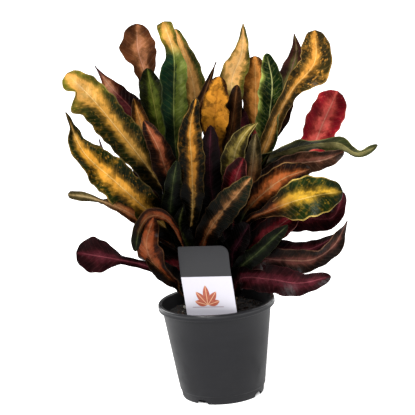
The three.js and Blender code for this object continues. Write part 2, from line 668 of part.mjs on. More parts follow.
const pottedCroton = new THREE.Group();
pottedCroton.add(piece("pot", potSolid(), FINISH.pot));

let soil = soilBlock().subtract(labelSlot());
for (const stem of Object.keys(STEMS)) soil = soil.subtract(stemHole(stem));
pottedCroton.add(piece("potting_soil", soil, FINISH.soil));
pottedCroton.add(piece("plant_label", labelSolid(), FINISH.label));

const leaves = allLeaves();
for (const stem of Object.keys(STEMS)) {
  let leafy = stemSolid(stem);
  for (const leaf of leaves) if (leaf.stem === stem) leafy = leafy.add(leaf.solid);
  pottedCroton.add(piece("croton_stem_" + stem, outerShell(leafy), FINISH.foliage));
}

export default pottedCroton;
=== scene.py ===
import math
import random
from bisect import bisect_right

import bpy
from bpy.props import FloatProperty, FloatVectorProperty, IntProperty, PointerProperty
from bpy.types import Operator, Panel, PropertyGroup
from mathutils import Matrix, Vector, noise


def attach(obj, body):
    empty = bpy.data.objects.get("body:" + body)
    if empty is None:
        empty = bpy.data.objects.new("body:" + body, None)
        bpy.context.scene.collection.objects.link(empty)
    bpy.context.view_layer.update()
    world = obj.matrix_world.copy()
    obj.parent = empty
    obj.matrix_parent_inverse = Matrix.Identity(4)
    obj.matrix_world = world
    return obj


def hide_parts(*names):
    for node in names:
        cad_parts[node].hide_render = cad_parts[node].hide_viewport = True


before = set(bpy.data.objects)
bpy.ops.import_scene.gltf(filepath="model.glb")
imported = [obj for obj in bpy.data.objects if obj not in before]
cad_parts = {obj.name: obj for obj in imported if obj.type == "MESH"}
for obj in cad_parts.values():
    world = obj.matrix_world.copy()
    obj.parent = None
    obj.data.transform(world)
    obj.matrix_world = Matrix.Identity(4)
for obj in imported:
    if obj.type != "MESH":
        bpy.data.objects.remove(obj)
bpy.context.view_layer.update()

bl_info = {
    "name": "Potted Croton",
    "version": (1, 0, 0),
    "blender": (4, 5, 0),
    "location": "View3D > Sidebar > Croton",
    "description": "Dresses a potted croton: leaves, stems, pot, soil and plant label",
    "category": "Object",
}

MM = 0.001

# ================= sizes that the solids share, in millimetres =================
POT_HEIGHT = 108
RIM_RADIUS = 65
LIP_REACH = 3.4
LIP_HEIGHT = 7.5
BASE_RADIUS = 46.5
WALL = 1.4
FOOT_HEIGHT = 10
FOOT_INSET = 1
FLOOR_HEIGHT = 6
CENTRE_FOOT_RADIUS = 7
NOTCH_WIDTH = 14
NOTCH_HEIGHT = 5
NOTCH_BEARINGS = [-122, -32, 58, 148]
FLOOR_HOLE_RADIUS = 5
FLOOR_HOLE_PLACE = 0.62  # the share of the base's radius at which the floor's holes lie
POT_SLOPE = (RIM_RADIUS - LIP_REACH - BASE_RADIUS) / POT_HEIGHT

SOIL_TOP = 95
SOIL_CRUMB = 1.6

LABEL = {
    "width": 57, "card_bottom": 101, "card_top": 182.8, "stake_tip": 40, "stake_width": 13, "depth": -45,
    "middle": -5.8, "tilt": 9, "lean": 1.5, "turn": 18, "corner": 10, "curl_from": 150, "curl_back": 5,
    "thickness": 0.8,
}

STEMS = {
    "front_left": {"foot": (-17, -12), "tip": (-32, -10, 240)},
    "front_right": {"foot": (18, -10), "tip": (36, -8, 238)},
    "back_left": {"foot": (-14, 16), "tip": (-26, 22, 248)},
    "back_right": {"foot": (16, 18), "tip": (30, 24, 244)},
}
STEM_FOOT_RADIUS = 3.8
STEM_TIP_RADIUS = 2.3
STEM_ROOTED_TO = 38
STEM_UPRIGHT_TO = SOIL_TOP + 2

PETIOLE_WIDTH = 3.4
OPENS = (0.02, 0.14)  # shares of the length between which the stalk widens into the blade
NARROWEST = 1.4  # the least width of a blade
KEEL = 0.2  # how far the edges are raised, as a share of the half width
WAVE_LENGTH = 46
CALM_WIDTH = 14  # narrower than this, the blade's waves are lower
RIB_RADIUS = 1.25
RIB_REACH = 0.9  # the share of the leaf's length that its rib shows

# Outlines along a leaf: stalk part, the share of the width it keeps, widest place, rise and fall.
FORMS = {
    "strap": (0.04, 0.14, 0.6, 0.8, 0.5),
    "lance": (0.06, 0.14, 0.48, 0.8, 1.1),
    "tall": (0.1, 0.3, 0.66, 0.9, 0.9),
    "spoon": (0.54, 0.2, 0.8, 1.1, 0.45),
    "longstalk": (0.69, 0.25, 0.88, 1.1, 0.45),
    "paddle": (0.3, 0.28, 0.74, 1.0, 0.42),
    "hook": (0.05, 0.16, 0.6, 0.75, 0.8),
    "necked": (0.05, 0.3, 0.42, 0.8, 0.28),
    "blunt": (0.04, 0.14, 0.74, 0.8, 0.3),
    "racket": (0.66, 0.44, 0.86, 1.0, 0.42),
    "crested": (0.06, 0.3, 0.5, 0.8, 0.16),
    "flag": (0.46, 0.22, 0.84, 0.8, 0.4),
}
# Forms with a neck under the tip: how deeply it is pinched, and where.
NECKS = {"necked": (0.7, 0.8), "crested": (0.45, 0.85)}
NECK_LENGTH = 0.09

# Single edges that swell or are nicked: edge (-1 left, 1 right of the midrib, tip up), share of the
# leaf's length, reach along it, and how much of the half width is added.
NICKS = {
    "gold_high_left": ((-1, 0.905, 0.024, -0.6), (-1, 0.855, 0.034, 0.4), (1, 0.7, 0.06, -0.12)),
    "gold_low_left": ((1, 0.84, 0.045, -0.4), (1, 0.7, 0.06, 0.1), (-1, 0.5, 0.05, 0.08)),
    "tan_spoon_top": ((-1, 0.86, 0.03, 0.18), (-1, 0.76, 0.04, -0.3), (1, 0.78, 0.07, 0.16)),
    "gold_spoon_right": ((1, 0.81, 0.04, 0.22), (-1, 0.84, 0.06, -0.22), (1, 0.93, 0.03, -0.06)),
    "red_blade_right": ((1, 0.94, 0.035, 0.14), (-1, 0.94, 0.03, 0.12), (1, 0.6, 0.06, -0.15)),
    "gold_blotched": ((1, 0.78, 0.03, -0.3), (-1, 0.88, 0.03, -0.18), (-1, 0.7, 0.03, 0.08)),
    "green_tall_left": ((-1, 0.7, 0.06, 0.12), (1, 0.62, 0.05, -0.12)),
    "olive_waved_left": ((-1, 0.72, 0.05, -0.25), (1, 0.55, 0.05, -0.2)),
    "gold_pointed_top": ((1, 0.82, 0.05, -0.22), (-1, 0.66, 0.06, 0.08)),
    "orange_twisted_left": ((-1, 0.62, 0.05, -0.25), (1, 0.45, 0.06, 0.1)),
    "olive_spoon_right": ((-1, 0.66, 0.05, -0.2), (1, 0.62, 0.06, -0.3)),
    "plum_low_right": ((-1, 0.86, 0.05, -0.25), (1, 0.7, 0.06, 0.06)),
}

# Where the leaves are sighted from; see the rows below.
EYE = Vector((-2, -1950, 656))

# Leaves: name, stem, height of the root, width, form, how far the face is turned from the viewer
# at root, middle and tip (degrees), edge wave, the midrib's points (x and z as they show on the
# plane y = 0, then the real y on that line of sight), and the leaf's tone.
FRONT_LEAVES = [
    ("gold_high_left", "front_left", 200, 40, "blunt", (35, 10, -12), 2.5,
     ((-61, 259, -24), (-91, 306, -32), (-118, 345, -38), (-142, 373, -42)), "gold_band"),
    ("gold_low_left", "front_left", 165, 41, "hook", (20, 0, 55), 3,
     ((-67, 214, -40), (-100, 250, -56), (-132, 286, -64), (-147, 331, -62)), "gold_stripe"),
    ("brown_thin_left", "front_left", 152, 19, "necked", (50, 30, 10), 2,
     ((-66, 197, -38), (-92, 216, -58), (-126, 233, -74), (-153, 240, -76)), "tan_olive"),
    ("maroon_blunt_left", "front_left", 158, 19, "paddle", (20, 40, 10), 1.5,
     ((-76, 208, -22), (-108, 238, -24)), "maroon"),
    ("dark_drooping_left", "front_left", 142, 17, "paddle", (100, 120, 150), 1,
     ((-48, 204, -50), (-66, 208, -60), (-78, 195, -64), (-85, 170, -64)), "brick_arch"),
    ("orange_twisted_left", "front_left", 112, 34, "strap", (15, 100, 190), 2.5,
     ((-46, 130, -28), (-64, 152, -48), (-72, 176, -60), (-62, 207, -58)), "brick"),
    ("plum_spoon_left", "front_left", 118, 38, "longstalk", (30, 10, 0), 1,
     ((-50, 138, -36), (-76, 153, -44), (-108, 163, -50), (-150, 174, -54)), "plum"),
    ("umber_low_left", "front_left", 106, 22, "strap", (30, 10, 0), 2,
     ((-36, 126, -26), (-52, 141, -42), (-74, 160, -52)), "umber"),
    ("rust_inner_left", "front_left", 190, 26, "strap", (20, 15, 0), 2.5,
     ((-42, 250, -38), (-50, 283, -52), (-63, 315, -60)), "salmon_dark"),
    ("brown_strip_left", "front_left", 212, 22, "strap", (30, 25, 20), 2,
     ((-50, 264, -12), (-64, 300, -14), (-72, 340, -14)), "brown_orange"),
    ("green_tall_left", "front_left", 234, 30, "crested", (30, 30, -20), 2.5,
     ((-31, 310, -20), (-28, 348, -24), (-25, 384, -22), (-33, 421, -20)), "green_veined"),
    ("gold_centre", "front_left", 184, 28, "strap", (-20, -12, 30), 3,
     ((-18, 214, -44), (-15, 262, -64), (-14, 302, -68), (-5, 335, -68)), "gold_narrow"),
    ("needle_centre", "front_left", 228, 18, "lance", (40, 30, 20), 1,
     ((-6, 316, -10), (7, 345, -8), (20, 373, -6)), "umber"),
    ("green_front", "front_left", 150, 31, "strap", (20, 8, 15), 2,
     ((-5, 182, -33), (11, 203, -58), (31, 224, -84), (49, 243, -104)), "green_orange"),
    ("dark_inner_left", "front_left", 140, 22, "strap", (40, 30, 10), 2,
     ((-42, 200, -32), (-39, 235, -56), (-31, 268, -78)), "dark_green"),
    ("speckled_low", "front_left", 126, 20, "hook", (30, 10, 30), 2,
     ((-26, 166, -24), (-34, 192, -30), (-28, 218, -54)), "dark_speckled"),
    ("gold_blotched", "front_right", 236, 29, "paddle", (20, 5, -10), 2,
     ((13, 290, -30), (15, 316, -44), (22, 357, -50)), "amber_blotched"),
    ("umber_inner", "front_right", 226, 24, "strap", (-40, -30, -20), 2,
     ((26, 276, -24), (34, 310, -34), (41, 346, -38)), "umber"),
    ("green_bright_right", "front_right", 234, 31, "strap", (-50, -40, -10), 2,
     ((66, 272, -14), (74, 312, -18), (79, 346, -18), (75, 378, -14)), "green_lime"),
    ("gold_spoon_right", "front_right", 212, 36, "racket", (10, 0, -10), 1.5,
     ((66, 274, -20), (82, 308, -30), (101, 337, -40), (126, 364, -44), (129, 399, -46)), "amber_green"),
    ("red_blade_right", "front_right", 192, 38, "flag", (20, 5, -5), 1.5,
     ((86, 246, -4), (117, 271, 0), (131, 297, 0), (149, 331, 0)), "crimson"),
    ("green_wavy_right", "front_right", 200, 21, "strap", (60, 58, 40), 3,
     ((64, 260, -16), (92, 271, -32), (124, 275, -36), (148, 273, -36), (166, 261, -36), (189, 268, -34)),
     "olive_grey"),
    ("tan_shaded_right", "front_right", 180, 28, "strap", (20, 30, 10), 2,
     ((68, 240, -28), (103, 254, -42), (128, 256, -46), (152, 263, -46)), "tan_shade"),
    ("orange_dark_right", "front_right", 148, 31, "paddle", (20, -8, -10), 2,
     ((37, 200, -42), (65, 227, -62), (87, 240, -74), (114, 247, -80)), "ember"),
    ("olive_spoon_right", "front_right", 136, 44, "spoon", (30, 8, 0), 1.5,
     ((40, 193, -54), (63, 203, -70), (92, 212, -84), (120, 217, -92), (148, 219, -94)), "yellow_green"),
    ("maroon_upturned", "front_right", 130, 30, "strap", (30, 15, -30), 2,
     ((62, 193, -36), (99, 193, -48), (135, 191, -52), (149, 218, -48)), "maroon"),
    ("red_short_right", "front_right", 122, 29, "paddle", (20, 10, 0), 2,
     ((50, 168, -50), (74, 185, -60), (98, 200, -62)), "dark_red"),
    ("dark_curled_right", "front_right", 110, 26, "strap", (30, 10, 60), 3,
     ((41, 150, -50), (76, 147, -66), (110, 145, -78), (134, 159, -82), (151, 186, -78)), "dark_rose"),
    ("plum_low_right", "front_right", 106, 30, "strap", (20, 0, 10), 2,
     ((28, 129, -44), (61, 126, -72), (94, 119, -88), (129, 124, -92)), "plum"),
    ("plum_mid_right", "front_right", 116, 20, "strap", (20, 15, 20), 2,
     ((34, 154, -34), (72, 160, -52), (106, 157, -60), (141, 171, -60)), "plum"),
    ("maroon_round", "front_right", 110, 28, "paddle", (20, 0, -20), 1.5,
     ((22, 158, -32), (32, 174, -50), (43, 190, -70)), "plum_dark"),
    ("green_streaked", "front_right", 112, 20, "strap", (40, 30, 20), 2,
     ((28, 140, -40), (49, 157, -62), (85, 186, -78)), "dark_green"),
    ("lime_curved", "front_right", 202, 26, "hook", (30, 5, -30), 2,
     ((30, 258, -56), (37, 280, -72), (50, 296, -80), (60, 303, -78)), "tan_lime"),
    ("red_round", "front_right", 172, 26, "paddle", (10, 0, -10), 1.5,
     ((27, 224, -56), (33, 246, -78), (42, 265, -90)), "dark_red"),
    ("maroon_centre", "front_right", 152, 28, "strap", (30, 20, 0), 2,
     ((6, 215, -34), (4, 256, -50), (9, 304, -60)), "plum_dark"),
    ("shade_centre", "front_right", 116, 32, "strap", (0, 0, 0), 2,
     ((6, 168, -6), (2, 215, -7), (4, 262, -8)), "dark_green"),
    ("olive_inner_right", "front_right", 164, 22, "strap", (-30, -20, 0), 2,
     ((46, 232, -42), (53, 265, -54), (57, 291, -60)), "tan_olive"),
]
TOP_LEAVES = [
    ("tan_spoon_top", "back_left", 244, 36, "racket", (20, 5, 12), 1.5,
     ((-56, 330, 18), (-58, 366, 24), (-63, 393, 28), (-62, 421, 30)), "copper"),
    ("olive_waved_left", "back_left", 238, 34, "strap", (30, 20, 0), 3,
     ((-46, 296, 8), (-51, 334, 8), (-55, 372, 8)), "olive_lime"),
    ("dark_pointed_left", "back_left", 234, 34, "lance", (20, 10, 40), 2,
     ((-58, 296, 14), (-77, 331, 18), (-94, 352, 22), (-111, 379, 26)), "maroon_tip"),
    ("green_gold_top", "back_left", 246, 29, "strap", (-10, -15, -30), 2,
     ((-7, 316, 16), (-7, 356, 20), (-21, 412, 24)), "olive_amber"),
    ("gold_pointed_top", "back_right", 242, 27, "tall", (10, 0, 30), 2.5,
     ((33, 330, 18), (36, 354, 24), (48, 380, 26), (52, 412, 26)), "gold_wide"),
    ("tan_wide_top", "back_right", 244, 31, "paddle", (10, 5, 0), 1.5,
     ((54, 290, 28), (60, 335, 34), (62, 376, 38)), "brown_orange"),
    ("brown_pointed_top", "back_right", 238, 25, "tall", (-20, -10, 20), 3,
     ((80, 300, 20), (95, 345, 24), (107, 378, 28), (106, 397, 30)), "maroon_green"),
]
# Leaves that stand in the middle of the crown, facing the two sides.
SIDE_LEAVES = [
    ("side_high_left", "back_left", 196, 30, "strap", (-60, -70, -75), 2,
     ((-36, 236, 12), (-44, 270, 8), (-56, 306, 4)), "green_orange"),
    ("side_mid_left", "back_left", 168, 30, "strap", (60, 70, 75), 2,
     ((-38, 200, 10), (-52, 232, 6), (-68, 262, 4)), "gold_stripe"),
    ("side_low_left", "back_left", 138, 30, "strap", (-60, -70, -70), 2,
     ((-34, 166, 10), (-50, 194, 6), (-70, 216, 4)), "plum"),
    ("side_high_right", "back_right", 196, 30, "strap", (60, 70, 75), 2,
     ((42, 238, 12), (52, 272, 8), (62, 306, 6)), "crimson"),
    ("side_mid_right", "back_right", 168, 30, "strap", (-60, -70, -75), 2,
     ((42, 200, 12), (58, 230, 8), (76, 256, 6)), "green_veined"),
    ("side_low_right", "back_right", 138, 30, "strap", (60, 70, 70), 2,
     ((40, 164, 12), (60, 188, 8), (80, 206, 6)), "ember"),
]

# The back of the crown repeats the front leaves, leaning the other way to fill a dome.
CROWN = {
    "radius": 146, "shoulder": 300, "top": 425, "top_radius": 62, "middle": 190, "inner": 22,
    "least_reach": 40, "narrowed": 0.77, "slimmed": 0.95, "lowest": 150, "lowest_root": 112,
    "root_below_tip": 6, "root_raised": 6, "root_step": 3,
}
LEFT_OUT_BEHIND = {
    "needle_centre", "green_wavy_right", "dark_drooping_left", "plum_spoon_left", "plum_mid_right",
    "dark_curled_right", "maroon_blunt_left", "umber_low_left", "shade_centre", "speckled_low",
    "maroon_round", "red_round", "lime_curved", "tan_shaded_right", "gold_spoon_right", "red_blade_right",
}
STAGGER = (0.82, 1, 0.7, 0.92)  # the shares of the dome's depth that these leaves reach by turns

# Dark leaves fanned through the middle: height of the root, degrees from upright, and length.
FAN = {
    "back_left": ((216, 8, 104), (182, 38, 96), (160, 58, 62), (138, 72, 56), (118, 10, 96)),
    "back_right": ((216, 8, 104), (184, 38, 104), (140, 76, 82), (118, -6, 96)),
}
FAN_BLADE = {
    "width": 36, "wave": 2, "root_depth": 15, "tip_depth": 18, "lift": 6, "sag": 14,
    "stations": (0.35, 0.7, 1),  # the shares of the length where the midrib's points lie
}
# The fan's tones are dark, partly as painted shade in the middle of the crown.
FAN_TONES = ("dark_green", "maroon", "plum_dark", "dark_red", "umber", "dark_speckled")

# Tones: colours of blade, stripe and rib, then the stripe's share of the width, how blotched and
# how speckled it is, how pale its margin, and how far the stripe is moved to the right.
TONES = {
    "gold_band": ("#1c260c", "#c8963f", "#e0be7c", 0.32, 0.5, 0.35, 0.2, 0.05),
    "gold_tip": ("#5a5c1c", "#c4964a", "#e6c88c", 0.72, 0.6, 0.5, 0.3, 0.0),
    "gold_dull": ("#10160a", "#b08c4a", "#d8ba78", 0.2, 0.45, 0.2, 0.2, 0.05),
    "gold_stripe": ("#1c270d", "#dca03a", "#ecc87c", 0.33, 0.45, 0.5, 0.2, 0.0),
    "gold_narrow": ("#10140a", "#c08430", "#dcb468", 0.3, 0.6, 0.25, 0.2, 0.05),
    "gold_wide": ("#52561e", "#e6b46a", "#f2d094", 0.7, 0.7, 0.3, 0.1, -0.1),
    "amber_blotched": ("#3a200c", "#c08428", "#a4681c", 0.95, 1.0, 0.6, 0.1, 0.0),
    "amber_green": ("#2e2812", "#d29640", "#ecc276", 0.26, 0.5, 0.8, 0.35, -0.1),
    "amber_stalk": ("#32280f", "#a67a3e", "#c4a068", 0.36, 0.4, 0.2, 0.5, 0.0),
    "yellow_green": ("#1a2c0e", "#c8a030", "#dcc070", 0.22, 0.6, 0.4, 0.9, -0.15),
    "green_lime": ("#0c200a", "#9cac58", "#ccd69a", 0.07, 0.3, 0.2, 0.2, -0.95),
    "green_veined": ("#123022", "#4f5e22", "#9aa866", 0.5, 0.6, 0.15, 0.2, 0.55),
    "green_orange": ("#152010", "#a8764a", "#caa070", 0.2, 0.45, 0.15, 0.3, -0.05),
    "green_ember": ("#2c1a10", "#8a4a28", "#b0805a", 0.34, 0.45, 0.15, 0.4, 0.0),
    "olive_amber": ("#333f16", "#c09050", "#dcb676", 0.42, 0.4, 0.3, 0.15, 0.0),
    "olive_lime": ("#171c0c", "#4c5a1e", "#7c803c", 0.36, 0.8, 0.3, 0.0, 0.1),
    "olive_grey": ("#363e26", "#727048", "#a4a070", 0.3, 0.4, 0.2, 0.6, 0.3),
    "tan_lime": ("#2c260e", "#85783a", "#bcae74", 0.45, 0.7, 0.4, 0.6, 0.0),
    "tan_olive": ("#403a28", "#8c7c56", "#b2a47e", 0.42, 0.5, 0.2, 0.2, 0.0),
    "tan_shade": ("#30201a", "#74493c", "#b08a7a", 0.26, 0.6, 0.2, 0.5, -0.2),
    "copper": ("#53301f", "#9a6848", "#c09078", 0.36, 0.7, 0.2, 0.1, 0.15),
    "brown_orange": ("#40260f", "#c4843e", "#e0ae68", 0.5, 0.6, 0.2, 0.1, 0.0),
    "brick": ("#3a180c", "#9c4e2a", "#c08660", 0.62, 0.6, 0.2, 0.7, 0.0),
    "brick_thin": ("#4e2818", "#a0603a", "#c08a60", 0.45, 0.5, 0.3, 0.3, 0.0),
    "ember": ("#1a0d0a", "#ae6032", "#c49a6c", 0.38, 0.6, 0.2, 0.6, 0.0),
    "umber": ("#1d120c", "#4a2d18", "#7a5836", 0.3, 0.5, 0.2, 0.2, 0.0),
    "salmon_dark": ("#1c0f0c", "#9a5538", "#c08866", 0.34, 0.6, 0.1, 0.1, 0.1),
    "salmon_tip": ("#6a3424", "#cc9070", "#e4b89c", 0.7, 0.4, 0.1, 0.0, 0.0),
    "crimson": ("#a01c32", "#e2605a", "#f0a494", 0.42, 0.8, 0.5, 0.3, 0.0),
    "coral": ("#9a2428", "#dc6452", "#f0a890", 0.55, 0.5, 0.1, 0.2, 0.0),
    "dark_red": ("#300c12", "#7c1e2a", "#a86060", 0.45, 0.5, 0.2, 0.6, 0.0),
    "maroon": ("#240c14", "#45161f", "#763a42", 0.4, 0.5, 0.1, 0.25, 0.0),
    "maroon_tip": ("#14080a", "#451a20", "#7a4440", 0.4, 0.5, 0.1, 0.1, -0.3),
    "maroon_green": ("#3e2220", "#5a5a32", "#8a6660", 0.3, 0.8, 0.3, 0.2, 0.0),
    "plum": ("#1f0a10", "#40161f", "#80404c", 0.4, 0.5, 0.2, 0.1, 0.0),
    "plum_dark": ("#1a090f", "#30121c", "#5f3040", 0.3, 0.5, 0.1, 0.3, 0.0),
    "dark_rose": ("#1b1211", "#54302c", "#8a6658", 0.28, 0.5, 0.2, 0.4, 0.0),
    "dark_green": ("#0e1409", "#222e18", "#5a6440", 0.3, 0.5, 0.2, 0.3, 0.0),
    "dark_speckled": ("#0f1409", "#3c4420", "#6a7040", 0.25, 0.6, 0.7, 0.2, 0.0),
}
# Tones that change along a leaf: shares of its length and the tone reached there.
GRADED = {
    "gold_band": ((0.3, "gold_dull"), (0.62, "gold_band"), (0.76, "gold_band"), (0.88, "gold_tip")),
    "gold_stripe": ((0.2, "gold_dull"), (0.4, "gold_stripe"), (0.8, "gold_stripe"), (0.92, "gold_dull")),
    "gold_narrow": ((0.3, "gold_dull"), (0.5, "gold_narrow")),
    "gold_wide": ((0.46, "olive_lime"), (0.64, "gold_wide")),
    "amber_blotched": ((0.3, "umber"), (0.55, "amber_blotched")),
    "amber_green": ((0.6, "amber_stalk"), (0.72, "amber_green")),
    "yellow_green": (
        (0.62, "green_ember"), (0.76, "yellow_green"), (0.92, "yellow_green"), (1.0, "dark_green")),
    "brick_arch": ((0.15, "umber"), (0.35, "brick"), (0.66, "brick"), (0.9, "dark_green")),
    "green_veined": ((0.8, "green_veined"), (0.88, "gold_tip")),
    "green_orange": ((0.2, "green_ember"), (0.55, "green_orange")),
    "copper": ((0.58, "dark_green"), (0.74, "copper")),
    "brown_orange": ((0.3, "umber"), (0.6, "brown_orange")),
    "tan_olive": ((0.6, "brick_thin"), (0.86, "tan_olive")),
    "ember": ((0.42, "dark_green"), (0.6, "ember"), (0.92, "ember"), (1.0, "umber")),
    "salmon_dark": ((0.35, "umber"), (0.6, "salmon_dark")),
    "crimson": ((0.45, "coral"), (0.66, "crimson")),
    "maroon_tip": ((0.76, "maroon_tip"), (0.86, "salmon_tip"), (0.95, "maroon")),
    "dark_rose": ((0.3, "plum_dark"), (0.6, "dark_rose")),
}
BEHIND_SHIFT = 5  # a leaf behind takes the tone of the front leaf this many rows on


def opaque(colour):
    return (*colour, 1.0)


def linear(code):
    """A colour code such as "#e0a63c" as linear red, green, blue and 1."""
    channels = [int(code[i:i + 2], 16) / 255 for i in (1, 3, 5)]
    return opaque(((c + 0.055) / 1.055) ** 2.4 if c > 0.04045 else c / 12.92 for c in channels)


def smoothstep(low, high, value):
    t = min(max((value - low) / (high - low), 0.0), 1.0)
    return t * t * (3 - 2 * t)


# ================= shader maths =================
class Wire:
    """An output socket that works in Python expressions: each operator adds its Math node."""

    def __init__(self, paint, socket):
        self.paint = paint
        self.socket = socket

    def __add__(self, other):
        return self.paint.maths("ADD", self, other)

    def __sub__(self, other):
        return self.paint.maths("SUBTRACT", self, other)

    def __rsub__(self, other):
        return self.paint.maths("SUBTRACT", other, self)

    def __mul__(self, other):
        return self.paint.maths("MULTIPLY", self, other)

    def __truediv__(self, other):
        return self.paint.maths("DIVIDE", self, other)

    def __abs__(self):
        return self.paint.maths("ABSOLUTE", self)

    __radd__ = __add__
    __rmul__ = __mul__


class Paint:
    """A node-based material that is written as expressions on wires."""

    def __init__(self, name):
        self.material = bpy.data.materials.new(name)
        self.material.use_nodes = True
        self.tree = self.material.node_tree
        self.shader = self.tree.nodes["Principled BSDF"]

    def feed(self, node, sockets):
        """Gives a node's sockets, by name or number, their values or wires."""
        for key, value in sockets.items():
            if isinstance(value, Wire):
                self.tree.links.new(value.socket, node.inputs[key])
            else:
                node.inputs[key].default_value = value

    def node(self, kind, settings=None, inputs=None, output=0):
        """Any node: its settings first, then its sockets."""
        made = self.tree.nodes.new(kind)
        for key, value in (settings or {}).items():
            setattr(made, key, value)
        self.feed(made, inputs or {})
        return Wire(self, made.outputs[output])

    def maths(self, operation, *values):
        return self.node("ShaderNodeMath", {"operation": operation}, dict(enumerate(values)))

    def attribute(self, name, output="Vector"):
        return self.node("ShaderNodeAttribute", {"attribute_name": name}, output=output)

    def coordinates(self):
        return self.node("ShaderNodeTexCoord", output="Object")

    def axes(self, vector):
        """The three numbers of a vector."""
        split = self.node("ShaderNodeSeparateXYZ", inputs={0: vector}).socket.node
        return [Wire(self, number) for number in split.outputs]

    def vector(self, x, y, z):
        return self.node("ShaderNodeCombineXYZ", inputs={0: x, 1: y, 2: z})

    def stretched(self, vector, scale):
        return self.node("ShaderNodeMapping", inputs={"Vector": vector, "Scale": scale})

    def noise(self, vector, scale, detail=2.0, roughness=0.5, distortion=0.0):
        sockets = {"Vector": vector, "Scale": scale, "Detail": detail, "Roughness": roughness,
                   "Distortion": distortion}
        return self.node("ShaderNodeTexNoise", inputs=sockets)

    def smooth(self, value, low, high):
        """0 below low, 1 above high, and a smooth step between."""
        return self.node("ShaderNodeMapRange", {"interpolation_type": "SMOOTHSTEP"},
                         {"Value": value, "From Min": low, "From Max": high})

    def blend(self, amount, first, second, how="MIX"):
        """Mixes two colours."""
        return self.node("ShaderNodeMix", {"data_type": "RGBA", "blend_type": how},
                         {0: amount, 6: first, 7: second}, output=2)

    def finish(self, colour, roughness, height=None, bump=0.3, bump_distance=0.001, **sockets):
        """Feeds the shader its colour, roughness and bump, and any other socket by its name."""
        fed = {"Base Color": colour, "Roughness": roughness}
        if height is not None:
            relief = {"Height": height, "Strength": bump, "Distance": bump_distance}
            fed["Normal"] = self.node("ShaderNodeBump", inputs=relief)
        fed.update((key.replace("_", " "), value) for key, value in sockets.items())
        self.feed(self.shader, fed)
        return self.material


